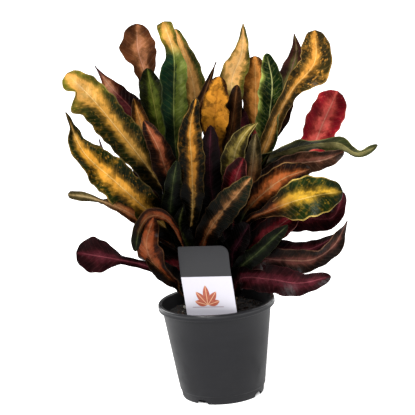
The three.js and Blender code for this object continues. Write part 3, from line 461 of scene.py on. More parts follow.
def leaf_material(name, under):
    """Croton leaf: a ragged stripe along the midrib, blotches, speckles, veins and a thin margin."""
    p = Paint(name)
    side, share, seed = p.axes(p.attribute("place"))
    across, along, skew = p.axes(p.attribute("flat"))
    blade = p.attribute("blade_colour", "Color")
    stripe = p.attribute("stripe_colour", "Color")
    rib = p.attribute("rib_colour", "Color")
    width, blotched, speckled = p.axes(p.attribute("pattern"))
    pale_edge = p.attribute("pattern", "Alpha")
    away = abs(side)
    off_stripe = abs(side - skew)

    # Noises over the leaf, along its side veins, and in broad drifts.
    spot = p.vector(across, along, seed)
    vein_place = along - abs(across) * 0.8 + p.noise(spot, 0.9) * 0.5
    streaked = p.vector(across * 0.7, vein_place * 1.5, seed)
    drift = p.noise(p.vector(across * 0.5, along * 0.35, seed + 11.0), 1.0, 2.0)
    cloud = p.noise(spot, 0.8, 3.0)
    ragged = p.noise(streaked, 1.1, 4.0, 0.6)
    fine = p.noise(spot, 6.0, 3.0)

    # The side veins, and the stripe: its half width less the way from its middle, made ragged.
    ridge = abs(p.maths("FRACT", vein_place / 0.6) - 0.5) * 2
    vein = p.smooth(ridge, 0.7, 1.0)
    reach = width * p.smooth(share, 0.0, 0.2) * (1 - 0.5 * p.smooth(share, 0.8, 1.0))
    edge = (ragged - 0.5) * 0.5 + (drift - 0.5) * 0.5 + (cloud - 0.5) * (blotched * 0.6)
    inside = reach - off_stripe + edge
    band = p.smooth(inside, -0.06, 0.12)
    fringe = p.smooth(inside, -0.3, 0.0)

    # Islands of the blade's colour in the stripe, and specks of the stripe's colour on the blade.
    island = p.smooth(p.noise(p.vector(across, along, seed + 7.3), 1.4, 3.0), 0.5, 0.62) * blotched
    cells = p.node("ShaderNodeTexVoronoi", {"feature": "F1"},
                   {"Vector": p.vector(across, along * 0.7 - abs(across) * 0.4, seed), "Scale": 4.4},
                   output="Distance")
    picked = p.noise(p.vector(across, along, seed + 3.1), 1.6, 1.0)
    speck = (1 - p.smooth(cells, 0.16, 0.44)) * p.smooth(picked + speckled * 0.14, 0.56, 0.64)
    speck = speck * p.maths("MINIMUM", speckled * 1.4, 1.0)
    painted = band * (1 - island * 0.8)
    painted = painted + (1 - painted) * speck * (1 - p.smooth(away, 0.75, 1.0)) * 0.6
    painted = painted * (1 - speck * band * 0.5)

    # The colours, laid over each other from the blade up to the midrib and the margin.
    mottle = p.smooth(p.noise(spot, 1.7, 4.0, 0.62), 0.5, 0.72) * (1 - fringe * 0.5)
    colour = p.blend(fringe * 0.36 + mottle * (0.08 + speckled * 0.4), blade, stripe)
    colour = p.blend(painted, colour, stripe)
    heart = p.smooth(inside, 0.12, 0.6) * band * p.smooth(ragged, 0.3, 0.7)
    colour = p.blend(heart * 0.45, colour, rib)
    colour = p.blend(vein * 0.09 * (1 - away * 0.5), colour, rib)
    midrib = (1 - p.smooth(abs(across), 0.035, 0.09)) * (1 - p.smooth(share, 0.9, 0.99))
    colour = p.blend(midrib * 0.6, colour, rib)
    colour = p.blend(p.smooth(away, 0.92, 0.97) * pale_edge * 0.8, colour, rib)

    # Painted light and shade on each leaf: cloudy light and dark, partly its own uneven colour, and painted
    # shade towards its stalk and deep in the plant, where the crown shades itself.
    x, y, z = p.axes(p.coordinates())
    rise = (z - 0.2) * 0.9
    depth = p.maths("SQRT", x * x + y * y + rise * rise)
    # Share of the leaf outside the painted shade: 0 deep in the crown's middle, 1 well out of it.
    clear = p.smooth(depth, 0.06, 0.155)
    shade = 0.46 + 0.66 * p.smooth(cloud, 0.3, 0.7) + (fine - 0.5) * 0.5
    shade = shade * (0.55 + 0.6 * p.smooth(drift, 0.35, 0.65))
    shade = shade + (0.98 - shade) * painted * 0.5
    painted_shade = (0.3 + 0.7 * p.smooth(share, 0.02, 0.34)) * (0.05 + 0.95 * clear)
    painted_shade = painted_shade + (1 - painted_shade) * painted * 0.26
    shade = shade * painted_shade
    # The painted shade is tinted warm, less so on the stripe.
    tint = p.vector(shade * 1.1, shade, shade * (0.76 + 0.16 * painted))
    colour = p.blend(1.0, colour, tint, "MULTIPLY")
    if under:
        colour = p.blend(0.3, colour, linear("#3a1a12"))

    # The relief and the gloss.
    height = midrib * -0.7 + vein * -0.35 + fine * 0.3 + ragged * 0.3
    roughness = (0.5 if under else 0.33) + (cloud - 0.5) * 0.2 + vein * 0.05
    coat = (0.02 if under else 0.05) * clear * p.smooth(fine + (cloud - 0.5) * 0.6, 0.4, 0.62)
    return p.finish(colour, roughness, height, 0.7, 0.001, Specular_IOR_Level=0.03, Coat_Weight=coat,
                    Coat_Roughness=0.24)


def bark_material():
    """Young stem: green above, corky grey-brown below, with rings of leaf scars."""
    p = Paint("croton_bark")
    place = p.coordinates()
    _, _, height = p.axes(place)
    grain = p.noise(p.stretched(place, (1, 1, 0.25)), 420, 4.0)
    rough = p.noise(place, 160, 3.0)
    age = 1 - p.smooth(height + (rough - 0.5) * 0.04, 0.13, 0.21)
    colour = p.blend(age, linear("#5a5a2c"), linear("#7a6248"))
    colour = p.blend(p.smooth(grain, 0.52, 0.7) * 0.6, colour, linear("#30241a"))
    return p.finish(colour, 0.62 + (grain - 0.5) * 0.3, grain + rough * 0.6, 0.6, 0.0006)


def pot_material(colour_value, matt):
    """Dark recycled plastic with a faint swirl, scuffs, dust low down and a glossy lip."""
    p = Paint("pot_plastic")
    place = p.coordinates()
    _, _, height = p.axes(place)
    swirl = p.noise(p.stretched(place, (1, 1, 5)), 26, 4.0, 0.6, 1.2)
    grain = p.noise(place, 1500, 2.0)
    scuffs = p.smooth(p.noise(p.stretched(place, (1, 1, 6)), 120, 5.0, 0.7), 0.66, 0.74)
    dusty = p.smooth(p.noise(place, 45, 4.0) + (0.05 - height) * 2.2, 0.52, 0.8)
    lighter = opaque(c * 1.5 for c in colour_value)
    colour = p.blend(p.smooth(swirl, 0.4, 0.7) * 0.3, opaque(colour_value), lighter)
    colour = p.blend(dusty * 0.03, colour, linear("#6f6d6a"))
    colour = p.blend(scuffs * 0.1, colour, linear("#5c5c60"))
    roughness = matt + (swirl - 0.5) * 0.12 + dusty * 0.2 + scuffs * 0.15
    lip = p.smooth(height, 0.1035, 0.107) * p.smooth(swirl, 0.3, 0.6)
    return p.finish(colour, roughness, grain * 0.3 + swirl * 0.5, 0.25, 0.0004, Specular_IOR_Level=0.16,
                    Coat_Weight=lip, Coat_Roughness=0.2)


def soil_material():
    """Dark peat in lumps, with paler fibres, darkened beyond the peat's own colour as painted shade inside
    the pot.
    """
    p = Paint("potting_mix")
    place = p.coordinates()
    lumps = p.noise(place, 190, 5.0, 0.65)
    fibres = p.noise(p.stretched(place, (1, 3, 1)), 420, 4.0)
    # Near-black lumps: the peat's dark colour, partly painted shade inside the pot.
    colour = p.blend(p.smooth(lumps, 0.4, 0.7), linear("#070504"), linear("#17100b"))
    colour = p.blend(p.smooth(fibres, 0.62, 0.72) * 0.5, colour, linear("#34251a"))
    return p.finish(colour, 0.95, lumps + fibres * 0.5, 0.9, 0.002)


def crumb_material():
    """Bark chips and perlite, told apart by a random number on each grain."""
    p = Paint("soil_crumbs")
    place = p.coordinates()
    kind = p.attribute("grain", "Fac")
    mottle = p.noise(place, 700, 3.0)
    bark = p.blend(mottle, linear("#140d08"), linear("#46301f"))
    colour = p.blend(p.smooth(kind, 0.94, 0.96), bark, linear("#c9c4b8"))
    return p.finish(colour, 0.9, mottle, 0.5, 0.0008)


def label_material(head_colour, paper_colour):
    """A printed card: a bare dark head over a pale field with a plain sprig of leaf shapes."""
    p = Paint("label_print")
    x, y, _ = p.axes(p.attribute("flat"))
    card_height = (LABEL["card_top"] - LABEL["card_bottom"]) / 10
    field_top = card_height - 3.37
    head = p.smooth(y, field_top - 0.02, field_top + 0.02)

    def shape(cx, cy, degrees, length, breadth):
        """1 inside a pointed oval that stands on (cx, cy) and leans by the angle."""
        turn = math.radians(degrees)
        dx, dy = x - cx, y - cy
        up = (dx * math.sin(turn) + dy * math.cos(turn)) / length - 0.5
        out = (dx * math.cos(turn) - dy * math.sin(turn)) / breadth
        return p.smooth(1 - up * up * 4 - abs(out) * 2, 0.0, 0.1), abs(out)

    sprig = 0.0
    rib = 0.0
    for degrees, length in ((-72, 1.5), (-36, 2.0), (0, 2.4), (36, 2.0), (72, 1.5)):
        inside, out = shape(-0.3, 1.45, degrees, length, 0.8)
        sprig = p.maths("MAXIMUM", sprig, inside)
        rib = p.maths("MAXIMUM", rib, inside * (1 - p.smooth(out, 0.03, 0.07)))
    mottle = p.noise(p.vector(x, y, 0.0), 3.0, 3.0)
    ink = p.blend(mottle, linear("#7e2f22"), linear("#b0634a"))
    paper = p.blend(mottle * 0.3, opaque(paper_colour), linear("#b9b2bd"))
    field = p.blend(sprig, paper, ink)
    field = p.blend(rib * 0.7, field, linear("#d9b08c"))
    ground = p.smooth(abs(x + 0.3), 1.75, 1.8) + p.smooth(abs(y - 1.2), 0.035, 0.06)
    field = p.blend(p.maths("MINIMUM", ground, 1.0), linear("#8f7f86"), field)
    speckle = p.smooth(p.noise(p.vector(x, y, 4.0), 16.0, 2.0), 0.35, 0.7)
    dark = p.blend(speckle * 0.4, opaque(head_colour), linear("#3c3c40"))
    colour = p.blend(head, field, dark)
    return p.finish(colour, 0.34 + mottle * 0.1, mottle * 0.2, 0.1, 0.0003, Specular_IOR_Level=0.3)


def label_back_material():
    """The card's unprinted side."""
    p = Paint("label_back")
    mottle = p.noise(p.coordinates(), 240, 3.0)
    return p.finish(p.blend(mottle, linear("#b4b3b0"), linear("#c9c8c5")), 0.5, mottle, 0.05, 0.0003)


# ================= shapes =================
def active():
    return bpy.context.view_layer.objects.active


def deselect():
    bpy.ops.object.select_all(action="DESELECT")


def select_only(*objects):
    """Selects these objects and makes the first of them active."""
    deselect()
    for obj in objects:
        obj.select_set(True)
    bpy.context.view_layer.objects.active = objects[0]


def edit(obj, *steps):
    """Runs edit-mode operators on the whole mesh; each step is an operator and its settings."""
    select_only(obj)
    bpy.ops.object.mode_set(mode="EDIT")
    for operator, settings in steps:
        bpy.ops.mesh.select_all(action="SELECT")
        operator(**settings)
    bpy.ops.object.mode_set(mode="OBJECT")


FACE_OUTWARD = (bpy.ops.mesh.normals_make_consistent, {"inside": False})


def name_piece(obj, name):
    obj.name = name
    obj.data.name = name
    return obj


def add_grid(columns, rows):
    """A flat grid whose points are moved by the caller; x and y run from -0.5 to 0.5."""
    deselect()
    bpy.ops.mesh.primitive_grid_add(x_subdivisions=columns, y_subdivisions=rows, size=1)
    return active()


def add_ball(segments, rings):
    """A closed ball whose poles become the two ends of a tube."""
    deselect()
    bpy.ops.mesh.primitive_uv_sphere_add(segments=segments, ring_count=rings, radius=1)
    return active()


def ball_place(vertex):
    """A ball's point: its height, its share of the way down from the upper pole, and its bearing."""
    z = max(-1.0, min(1.0, vertex.co.z))
    return z, math.acos(z) / math.pi, math.atan2(vertex.co.y, vertex.co.x)


def apply_modifier(obj, kind, **settings):
    made = obj.modifiers.new(kind.title(), kind)
    for key, value in settings.items():
        setattr(made, key, value)
    bpy.context.view_layer.objects.active = obj
    bpy.ops.object.modifier_apply(modifier=made.name)


def join(objects, name):
    select_only(*objects)
    bpy.ops.object.join()
    return name_piece(active(), name)


def smooth_by_angle(obj, degrees):
    select_only(obj)
    bpy.ops.object.shade_smooth_by_angle(angle=math.radians(degrees))


def wear(obj, *materials):
    obj.data.materials.clear()
    for material in materials:
        obj.data.materials.append(material)


def catmull(points, t):
    """A point of the centripetal Catmull-Rom curve through the points."""
    spans = len(points) - 1
    index = min(int(t * spans), spans - 1)
    w = t * spans - index
    b, c = points[index], points[index + 1]
    a = points[index - 1] if index > 0 else b * 2 - c
    d = points[index + 2] if index + 2 <= spans else c * 2 - b
    before, here, after = ((q - p).length ** 0.5 for p, q in ((a, b), (b, c), (c, d)))
    start = ((b - a) / before - (c - a) / (before + here) + (c - b) / here) * here
    end = ((c - b) / here - (d - b) / (here + after) + (d - c) / after) * here
    bend = (c - b) * 3 - start * 2 - end
    close = (b - c) * 2 + start + end
    return b + start * w + bend * w * w + close * w * w * w


class Midrib:
    """The curve through the points, read by its length."""

    STEPS = 200

    def __init__(self, points):
        self.points = points
        spots = [catmull(points, i / self.STEPS) for i in range(self.STEPS + 1)]
        self.reached = [0.0]  # the length up to each step
        for one, other in zip(spots, spots[1:]):
            self.reached.append(self.reached[-1] + (other - one).length)
        self.length = self.reached[-1]

    def parameter(self, share):
        goal = share * self.length
        high = bisect_right(self.reached, goal, 1, self.STEPS)
        start, end = self.reached[high - 1], self.reached[high]
        return (high - 1 + (goal - start) / (end - start)) / self.STEPS

    def at(self, share):
        """The point at a share of the length, and the direction there."""
        t = self.parameter(share)
        ahead, behind = catmull(self.points, min(t + 0.0001, 1.0)), catmull(self.points, max(t - 0.0001, 0.0))
        return catmull(self.points, t), (ahead - behind).normalized()


def wall_radius(height):
    return BASE_RADIUS + POT_SLOPE * height


def stem_point(stem, height):
    """The middle of a stem: upright in the soil, then leaning out to its tip."""
    foot, tip = STEMS[stem]["foot"], STEMS[stem]["tip"]
    up = max(0.0, (height - STEM_UPRIGHT_TO) / (tip[2] - STEM_UPRIGHT_TO))
    lean = up * (0.45 + 0.55 * up)
    return Vector((foot[0] + (tip[0] - foot[0]) * lean, foot[1] + (tip[1] - foot[1]) * lean, height))


def sighted(x, z, y):
    """The point that shows at (x, z) on the plane y = 0 and lies at depth y on that line of sight."""
    return EYE.lerp(Vector((x, 0, z)), (y - EYE.y) / -EYE.y)


def crown_radius(z):
    up = min(max((z - CROWN["shoulder"]) / (CROWN["top"] - CROWN["shoulder"]), 0), 1)
    return CROWN["radius"] + (CROWN["top_radius"] - CROWN["radius"]) * up


def row_behind(row, index):
    """A front leaf's row as the row of the leaf behind it, on the back stem of the same side."""
    name, _, root, width, form, turns, wave, path, _ = row
    side = "back_left" if path[-1][0] < 0 else "back_right"
    leaned = []
    for i, (x, z, _) in enumerate(path):
        share = (i + 1) / len(path)
        reach = math.sqrt(max(crown_radius(z) ** 2 - x ** 2, CROWN["least_reach"] ** 2))
        narrow = 1 - (1 - CROWN["narrowed"]) * share
        height = CROWN["middle"] + (z - CROWN["middle"]) * narrow
        depth = CROWN["inner"] + (reach * STAGGER[index % 4] - CROWN["inner"]) * share
        leaned.append((x * narrow, max(height, CROWN["lowest"]), depth))
    climb = max(root + CROWN["root_raised"] + (index % 3) * CROWN["root_step"], CROWN["lowest_root"])
    climb = min(climb, STEMS[side]["tip"][2] - CROWN["root_below_tip"])
    turned = [-turn for turn in turns]
    tone = FRONT_LEAVES[(index + BEHIND_SHIFT) % len(FRONT_LEAVES)][8]
    return (name + "_behind", side, climb, width * CROWN["slimmed"], form, turned, wave, leaned, tone)


def fan_rows(side, sign):
    """The rows of the fan on one back stem; sign is -1 on the left and 1 on the right."""
    rows = []
    for index, (root, bearing, length) in enumerate(FAN[side]):
        out, up = math.sin(math.radians(bearing)), math.cos(math.radians(bearing))
        foot = stem_point(side, root)
        path = []
        for share in FAN_BLADE["stations"]:
            height = foot.z + FAN_BLADE["lift"] + up * length * share - FAN_BLADE["sag"] * out * share ** 2
            deepened = (FAN_BLADE["tip_depth"] - FAN_BLADE["root_depth"]) * share
            path.append((foot.x + sign * out * length * share, height, FAN_BLADE["root_depth"] + deepened))
        turns = (16, 8, 0) if index % 2 else (-16, -8, 0)
        name, tone = "fan_%s_%d" % (side, index), FAN_TONES[(index + (sign > 0)) % len(FAN_TONES)]
        rows.append((name, side, root, FAN_BLADE["width"], "strap", turns, FAN_BLADE["wave"], path, tone))
    return rows


def leaf_rows(stem):
    """Every leaf of a stem, each with the viewer that its face is turned to."""
    behind = Vector((EYE.x, -EYE.y, EYE.z))
    copied = [row for row in FRONT_LEAVES if row[0] not in LEFT_OUT_BEHIND]
    rows = [(row, EYE) for row in FRONT_LEAVES + TOP_LEAVES]
    rows += [(row_behind(row, index), behind) for index, row in enumerate(copied)]
    rows += [(row, EYE) for row in SIDE_LEAVES + fan_rows("back_left", -1) + fan_rows("back_right", 1)]
    return [(row, viewer) for row, viewer in rows if row[1] == stem]


def outline_share(form, share):
    """A leaf's width at a share of its length, as a share of its full width."""
    stalk, waist, peak, rise, fall = FORMS[form]
    depth, place = NECKS.get(form, (0, 1))
    pinch = 1 - depth * math.exp(-(((share - place) / NECK_LENGTH) ** 2))
    if share <= stalk:
        return waist
    if share > peak:
        return pinch * max(math.cos(math.pi / 2 * (share - peak) / (1 - peak)), 0) ** fall
    return pinch * (waist + (1 - waist) * math.sin(math.pi / 2 * (share - stalk) / (peak - stalk)) ** rise)


class Blade:
    """One leaf's surface: where a point at a share of the length and a side of the midrib lies."""

    def __init__(self, row, viewer):
        self.name, stem, self.root, self.width, self.form, self.turns, self.wave, path, self.tone = row
        self.viewer = viewer
        self.midrib = Midrib([stem_point(stem, self.root)] + [sighted(*spot) for spot in path])
        self.waves = self.midrib.length / WAVE_LENGTH
        # A number of the leaf's own, which shifts its pattern and its finer waves.
        self.seed = (sum(ord(letter) * (i + 3) for i, letter in enumerate(self.name)) % 997) / 7.0

    def frame_at(self, share):
        centre, along = self.midrib.at(share)
        facing = (self.viewer - centre).normalized()
        # The more a leaf points along the line of sight, the more its face turns up.
        facing += Vector((0, 0, 1)) * 0.35 * abs(facing.dot(along))
        facing = (facing - along * facing.dot(along)).normalized()
        near, mid, far = self.turns
        turn = near + (mid - near) * share * 2 if share < 0.5 else mid + (far - mid) * (share * 2 - 1)
        normal = Matrix.Rotation(math.radians(turn), 3, along) @ facing
        return centre, along, normal, along.cross(normal)

    def half_width(self, share):
        blade = max(self.width * outline_share(self.form, share), NARROWEST)
        return (PETIOLE_WIDTH + (blade - PETIOLE_WIDTH) * smoothstep(*OPENS, share)) / 2

    def point(self, frame_here, share, side):
        """side runs from -1 at the left edge to 1 at the right one."""
        centre, _, normal, across = frame_here
        half = self.half_width(share)
        opened = smoothstep(*OPENS, share)
        away = abs(side)
        ripple = self.wave * opened * min(1, half * 2 / CALM_WIDTH)
        phase = 2 * math.pi * self.waves * share + self.root + (0 if side > 0 else 2.2)
        lift = KEEL * half * opened * away ** 1.2 + ripple * away ** 1.7 * math.sin(phase)
        lift += ripple * 0.22 * away ** 2.4 * math.sin(phase * 2.3 + self.seed)
        frill = 1 + away * opened * (
            0.04 * math.sin(phase * 3.1 + self.seed * 2) + 0.035 * math.sin(phase * 1.3 + self.seed * 5))
        for edge, place, reach, amount in NICKS.get(self.name, ()):
            if edge * side > 0:
                frill += amount * away * math.exp(-((share - place) / reach) ** 2)
        return centre + across * side * half * frill + normal * lift


def station(even):
    """Stations stand closer towards the tip, where the outline turns."""
    return 0.5 * even + 0.5 * math.sin(math.pi / 2 * even)


def tone_values(name):
    """A tone's three colours and its pattern as four lists of numbers, and its stripe's shift."""
    tone = TONES[name]
    return [linear(tone[0]), linear(tone[1]), linear(tone[2]), tone[3:7], (tone[7],)]


def tone_at(name, share):
    """The values of a leaf's tone at a share of its length."""
    stops = GRADED.get(name, ((0.0, name),))
    passed = [stop for stop in stops if stop[0] <= share] or [stops[0]]
    ahead = [stop for stop in stops if stop[0] > share] or [stops[-1]]
    (low, one), (high, other) = passed[-1], ahead[0]
    amount = (share - low) / (high - low) if high > low and share > low else 0.0
    pairs = zip(tone_values(one), tone_values(other))
    return [[a + (b - a) * amount for a, b in zip(first, second)] for first, second in pairs]


def write_attributes(obj, sides, shares, blade):
    """The leaf's own coordinates and colours, which its material reads."""
    places, flats, colours = [], [], ([], [], [], [])
    tones = {}
    for side, share in zip(sides, shares):
        if share not in tones:
            tones[share] = tone_at(blade.tone, share)
        *values, (skew,) = tones[share]
        places += (side, share, blade.seed)
        flats += (side * blade.half_width(share) / 10, share * blade.midrib.length / 10, skew)
        for kept, value in zip(colours, values):
            kept += value
    for name, values in (("place", places), ("flat", flats)):
        layer = obj.data.attributes.new(name, "FLOAT_VECTOR", "POINT")
        layer.data.foreach_set("vector", values)
    for name, values in zip(("blade_colour", "stripe_colour", "rib_colour", "pattern"), colours):
        layer = obj.data.attributes.new(name, "FLOAT_COLOR", "POINT")
        layer.data.foreach_set("color", values)


def grow_blade(blade, columns, rows, thickness):
    """The thin, waved blade: a grid laid along the midrib and given its thickness."""
    obj = add_grid(columns, rows)
    sides = [max(-1.0, min(1.0, v.co.x * 2)) for v in obj.data.vertices]
    evens = [max(0.0, min(1.0, v.co.y + 0.5)) for v in obj.data.vertices]
    frames = {}
    shares = []
    for vertex, side, even in zip(obj.data.vertices, sides, evens):
        key = round(even, 5)
        if key not in frames:
            frames[key] = (station(even), blade.frame_at(station(even)))
        share, frame_here = frames[key]
        shares.append(share)
        vertex.co = blade.point(frame_here, share, side) * MM
    write_attributes(obj, sides, shares, blade)
    apply_modifier(obj, "SOLIDIFY", thickness=thickness * MM, offset=0.0, use_even_offset=True,
                   material_offset=1, material_offset_rim=0)
    return obj


def grow_rib(blade):
    """The leaf stalk, which runs on as a tapering rib under the blade."""
    obj = add_ball(8, 26)
    shares = []
    for vertex in obj.data.vertices:
        z, down, angle = ball_place(vertex)
        share = RIB_REACH * (1 - down)
        centre, _, normal, across = blade.frame_at(share)
        radius = RIB_RADIUS * (1 - 0.72 * smoothstep(0.0, 0.55, share)) if abs(z) < 0.9999 else 0.0
        sunk = centre - normal * radius * 0.5 * smoothstep(0.03, 0.2, share)
        vertex.co = (sunk + (across * math.cos(angle) + normal * math.sin(angle)) * radius) * MM
        shares.append(share)
    write_attributes(obj, [0.0] * len(shares), shares, blade)
    return obj


# ================= settings =================
def colour_setting(name, description, code):
    return FloatVectorProperty(name=name, description=description, subtype="COLOR", size=3,
                               default=linear(code)[:3], min=0, max=1)


class CrotonLeafSettings(PropertyGroup):
    thickness: FloatProperty(
        name="Thickness", description="Thickness of a blade, in millimetres", default=0.8, min=0.4, max=2)
    columns: IntProperty(
        name="Columns", description="Faces across a blade", default=12, min=4, max=24)
    rows: IntProperty(
        name="Rows", description="Faces along a blade", default=52, min=12, max=96)


class CrotonPotSettings(PropertyGroup):
    colour: colour_setting("Colour", "Colour of the pot's plastic", "#18181b")
    roughness: FloatProperty(
        name="Roughness", description="How matt the plastic is", subtype="FACTOR", default=0.5, min=0, max=1)
    steps: IntProperty(
        name="Steps", description="Faces around the pot", default=144, min=24, max=256)


class CrotonLabelSettings(PropertyGroup):
    head: colour_setting("Head", "Colour of the card's upper part", "#1a1a1c")
    paper: colour_setting("Paper", "Colour of the card's lower part", "#c2c0c9")


class CrotonSoilSettings(PropertyGroup):
    grains: IntProperty(
        name="Grains", description="How many loose grains lie on the soil", default=320, min=1, max=1500)


class CrotonStageSettings(PropertyGroup):
    key: FloatProperty(
        name="Key light", description="Strength of the main soft light", default=3.6, min=0, max=20)
    fill: FloatProperty(
        name="Fill light", description="Strength of the soft lights from behind", default=1.5, min=0, max=20)
    sky: FloatProperty(
        name="Surroundings", description="Brightness of the white surroundings", default=0.2, min=0, max=5)
    table: FloatProperty(
        name="Table glow", description="Brightness that the table adds to its paper",
        default=0.75, min=0, max=5)


# ================= one operator for each piece or group of like pieces =================
class CrotonPot(Operator):
    """Spins the pot's profile, then cuts its drain notches and holes"""

    bl_idname = "croton.pot"
    bl_label = "Nursery pot"

    @staticmethod
    def profile():
        """Radius and height along the wall's section, with the lip and foot rounded."""
        wall, rim, stud = wall_radius, RIM_RADIUS, CENTRE_FOOT_RADIUS
        top, lip, ledge, floor = POT_HEIGHT, POT_HEIGHT - LIP_HEIGHT, FOOT_HEIGHT, FLOOR_HEIGHT
        under = FLOOR_HEIGHT - WALL
        foot = BASE_RADIUS - FOOT_INSET
        inside = foot - WALL
        mouth = wall(top) - WALL
        return [
            (0, 0), (stud - 0.4, 0), (stud, 0.3), (stud + 0.8, under - 0.4), (stud + 1.3, under),
            (inside - 1.6, under), (inside - 1.1, under - 0.5), (inside - 0.4, 0.3), (inside - 0.1, 0),
            (foot - 0.9, 0), (foot - 0.4, 0.3), (wall(1.2) - FOOT_INSET, 1.2),
            (wall(ledge - 1.4) - FOOT_INSET, ledge - 1.4),
            (wall(ledge - 0.9) - FOOT_INSET + 0.15, ledge - 0.8), (wall(ledge) - 0.15, ledge - 0.2),
            (wall(ledge + 0.5), ledge + 0.5), (wall(40), 40), (wall(70), 70),
            (wall(lip - 0.5), lip - 0.6), (wall(lip) + 0.3, lip - 0.1), (rim - 1.2, lip + 0.4),
            (rim - 0.5, lip + 0.8), (rim - 0.1, lip + 1.6), (rim, lip + 3), (rim, top - 2),
            (rim - 0.25, top - 1), (rim - 0.9, top - 0.3), (rim - 1.9, top), (mouth + 1.4, top - 0.1),
            (mouth + 0.5, top - 0.6), (mouth, top - 2), (wall(60) - WALL, 60),
            (wall(floor + 1) - WALL, floor + 1), (wall(floor) - WALL - 0.8, floor), (0, floor),
        ]

    @staticmethod
    def notch_tool(bearing):
        """An arched block through the foot ring."""
        deselect()
        bpy.ops.mesh.primitive_cylinder_add(vertices=32, radius=1, depth=1)
        tool = active()
        for vertex in tool.data.vertices:
            x, y, z = vertex.co
            width = NOTCH_WIDTH / 2 * math.copysign(min(1, abs(x) ** 0.6), x)
            vertex.co = (width * MM, -(BASE_RADIUS + z * 14) * MM, NOTCH_HEIGHT * max(y, -0.3) * MM)
        tool.data.transform(Matrix.Rotation(math.radians(bearing), 4, "Z"))
        return tool

    @staticmethod
    def hole_tool(bearing):
        """An upright rod through the floor, midway between two notches."""
        deselect()
        bpy.ops.mesh.primitive_cylinder_add(vertices=32, radius=FLOOR_HOLE_RADIUS * MM,
                                            depth=FLOOR_HEIGHT * 2 * MM)
        tool = active()
        turn = math.radians(bearing + 45)
        out = BASE_RADIUS * FLOOR_HOLE_PLACE
        spot = Vector((math.sin(turn) * out, -math.cos(turn) * out, FLOOR_HEIGHT)) * MM
        tool.data.transform(Matrix.Translation(spot))
        return tool

    def execute(self, context):
        settings = context.scene.croton_pot
        deselect()
        bpy.ops.mesh.primitive_circle_add(vertices=3, radius=1, fill_type="NOTHING")
        pot = active()
        pot.data.clear_geometry()
        corners = [(radius * MM, 0, height * MM) for radius, height in self.profile()]
        pot.data.from_pydata(corners, [(i, i + 1) for i in range(len(corners) - 1)], [])
        around = {"angle": 2 * math.pi, "center": (0, 0, 0), "axis": (0, 0, 1)}
        edit(pot, (bpy.ops.mesh.spin, {"steps": settings.steps, **around}),
             (bpy.ops.mesh.remove_doubles, {"threshold": 0.00002}), FACE_OUTWARD)
        for cutter in (self.notch_tool, self.hole_tool):
            for bearing in NOTCH_BEARINGS:
                tool = cutter(bearing)
                apply_modifier(pot, "BOOLEAN", object=tool, operation="DIFFERENCE", solver="EXACT")
                bpy.data.objects.remove(tool)
        name_piece(pot, "nursery_pot")
        smooth_by_angle(pot, 38)
        wear(pot, pot_material(settings.colour, settings.roughness))
        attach(pot, "root")
        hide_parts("pot")
        return {"FINISHED"}


class CrotonSoil(Operator):
    """Fills the pot with an uneven bed of potting mix, with loose grains on it"""

    bl_idname = "croton.soil"
    bl_label = "Potting mix"

    CLEARANCE = 0.5  # between the mix and the pot
    TOP_SHARE = 0.8  # of the ball's rings, the rest make the side and the bottom
    SCATTER_RADIUS = 54

    @staticmethod
    def surface(x, y):
        """The height of the uneven top."""
        rough = math.sin(x * 0.31 + 1.3) * math.cos(y * 0.27) + 0.5 * math.sin(x * 0.7 - y * 0.53)
        grit = noise.fractal(Vector((x, y, 0)) * 0.22, 0.8, 2.2, 4)
        return SOIL_TOP + SOIL_CRUMB * rough / 1.5 + 1.1 * grit

    def execute(self, context):
        bed = add_ball(96, 72)
        rim = self.TOP_SHARE
        floor = FLOOR_HEIGHT + self.CLEARANCE
        edge = SOIL_TOP - SOIL_CRUMB
        outer = wall_radius(edge) - WALL - self.CLEARANCE
        for vertex in bed.data.vertices:
            _, ring, angle = ball_place(vertex)
            if ring <= rim:
                radius = outer * ring / rim
                settle = smoothstep(0.86, 1.0, ring / rim)
                z = self.surface(radius * math.cos(angle), radius * math.sin(angle))
                z = z * (1 - settle) + edge * settle
            else:
                down = (ring - rim) / (1 - rim) * 1.6
                z = edge + (floor - edge) * min(down, 1)
                radius = (wall_radius(z) - WALL - self.CLEARANCE) * (1 - max(0, down - 1) / 0.6)
            vertex.co = (radius * math.cos(angle) * MM, radius * math.sin(angle) * MM, z * MM)
        name_piece(bed, "potting_bed")
        smooth_by_angle(bed, 50)
        wear(bed, soil_material())

        rng = random.Random(7)
        grains = []
        for _ in range(context.scene.croton_soil.grains):
            angle, out = rng.uniform(0, 2 * math.pi), self.SCATTER_RADIUS * math.sqrt(rng.random())
            spot = Vector((out * math.cos(angle), out * math.sin(angle), 0))
            spot.z = self.surface(spot.x, spot.y) + 0.2
            deselect()
            bpy.ops.mesh.primitive_ico_sphere_add(subdivisions=1, radius=rng.uniform(0.7, 1.9) * MM)
            grain = active()
            squash = Matrix.Diagonal((rng.uniform(0.7, 1.5), rng.uniform(0.6, 1.1), rng.uniform(0.4, 0.9), 1))
            turn = Matrix.Rotation(rng.uniform(0, 6.3), 4, Vector((rng.random(), rng.random(), 1)))
            grain.data.transform(Matrix.Translation(spot * MM) @ turn @ squash)
            kind = grain.data.attributes.new("grain", "FLOAT", "POINT")
            kind.data.foreach_set("value", [rng.random()] * len(grain.data.vertices))
            grains.append(grain)
        crumbs = join(grains, "soil_crumbs")
        wear(crumbs, crumb_material())
        for piece in (bed, crumbs):
            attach(piece, "root")
            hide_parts("potting_soil")
        return {"FINISHED"}


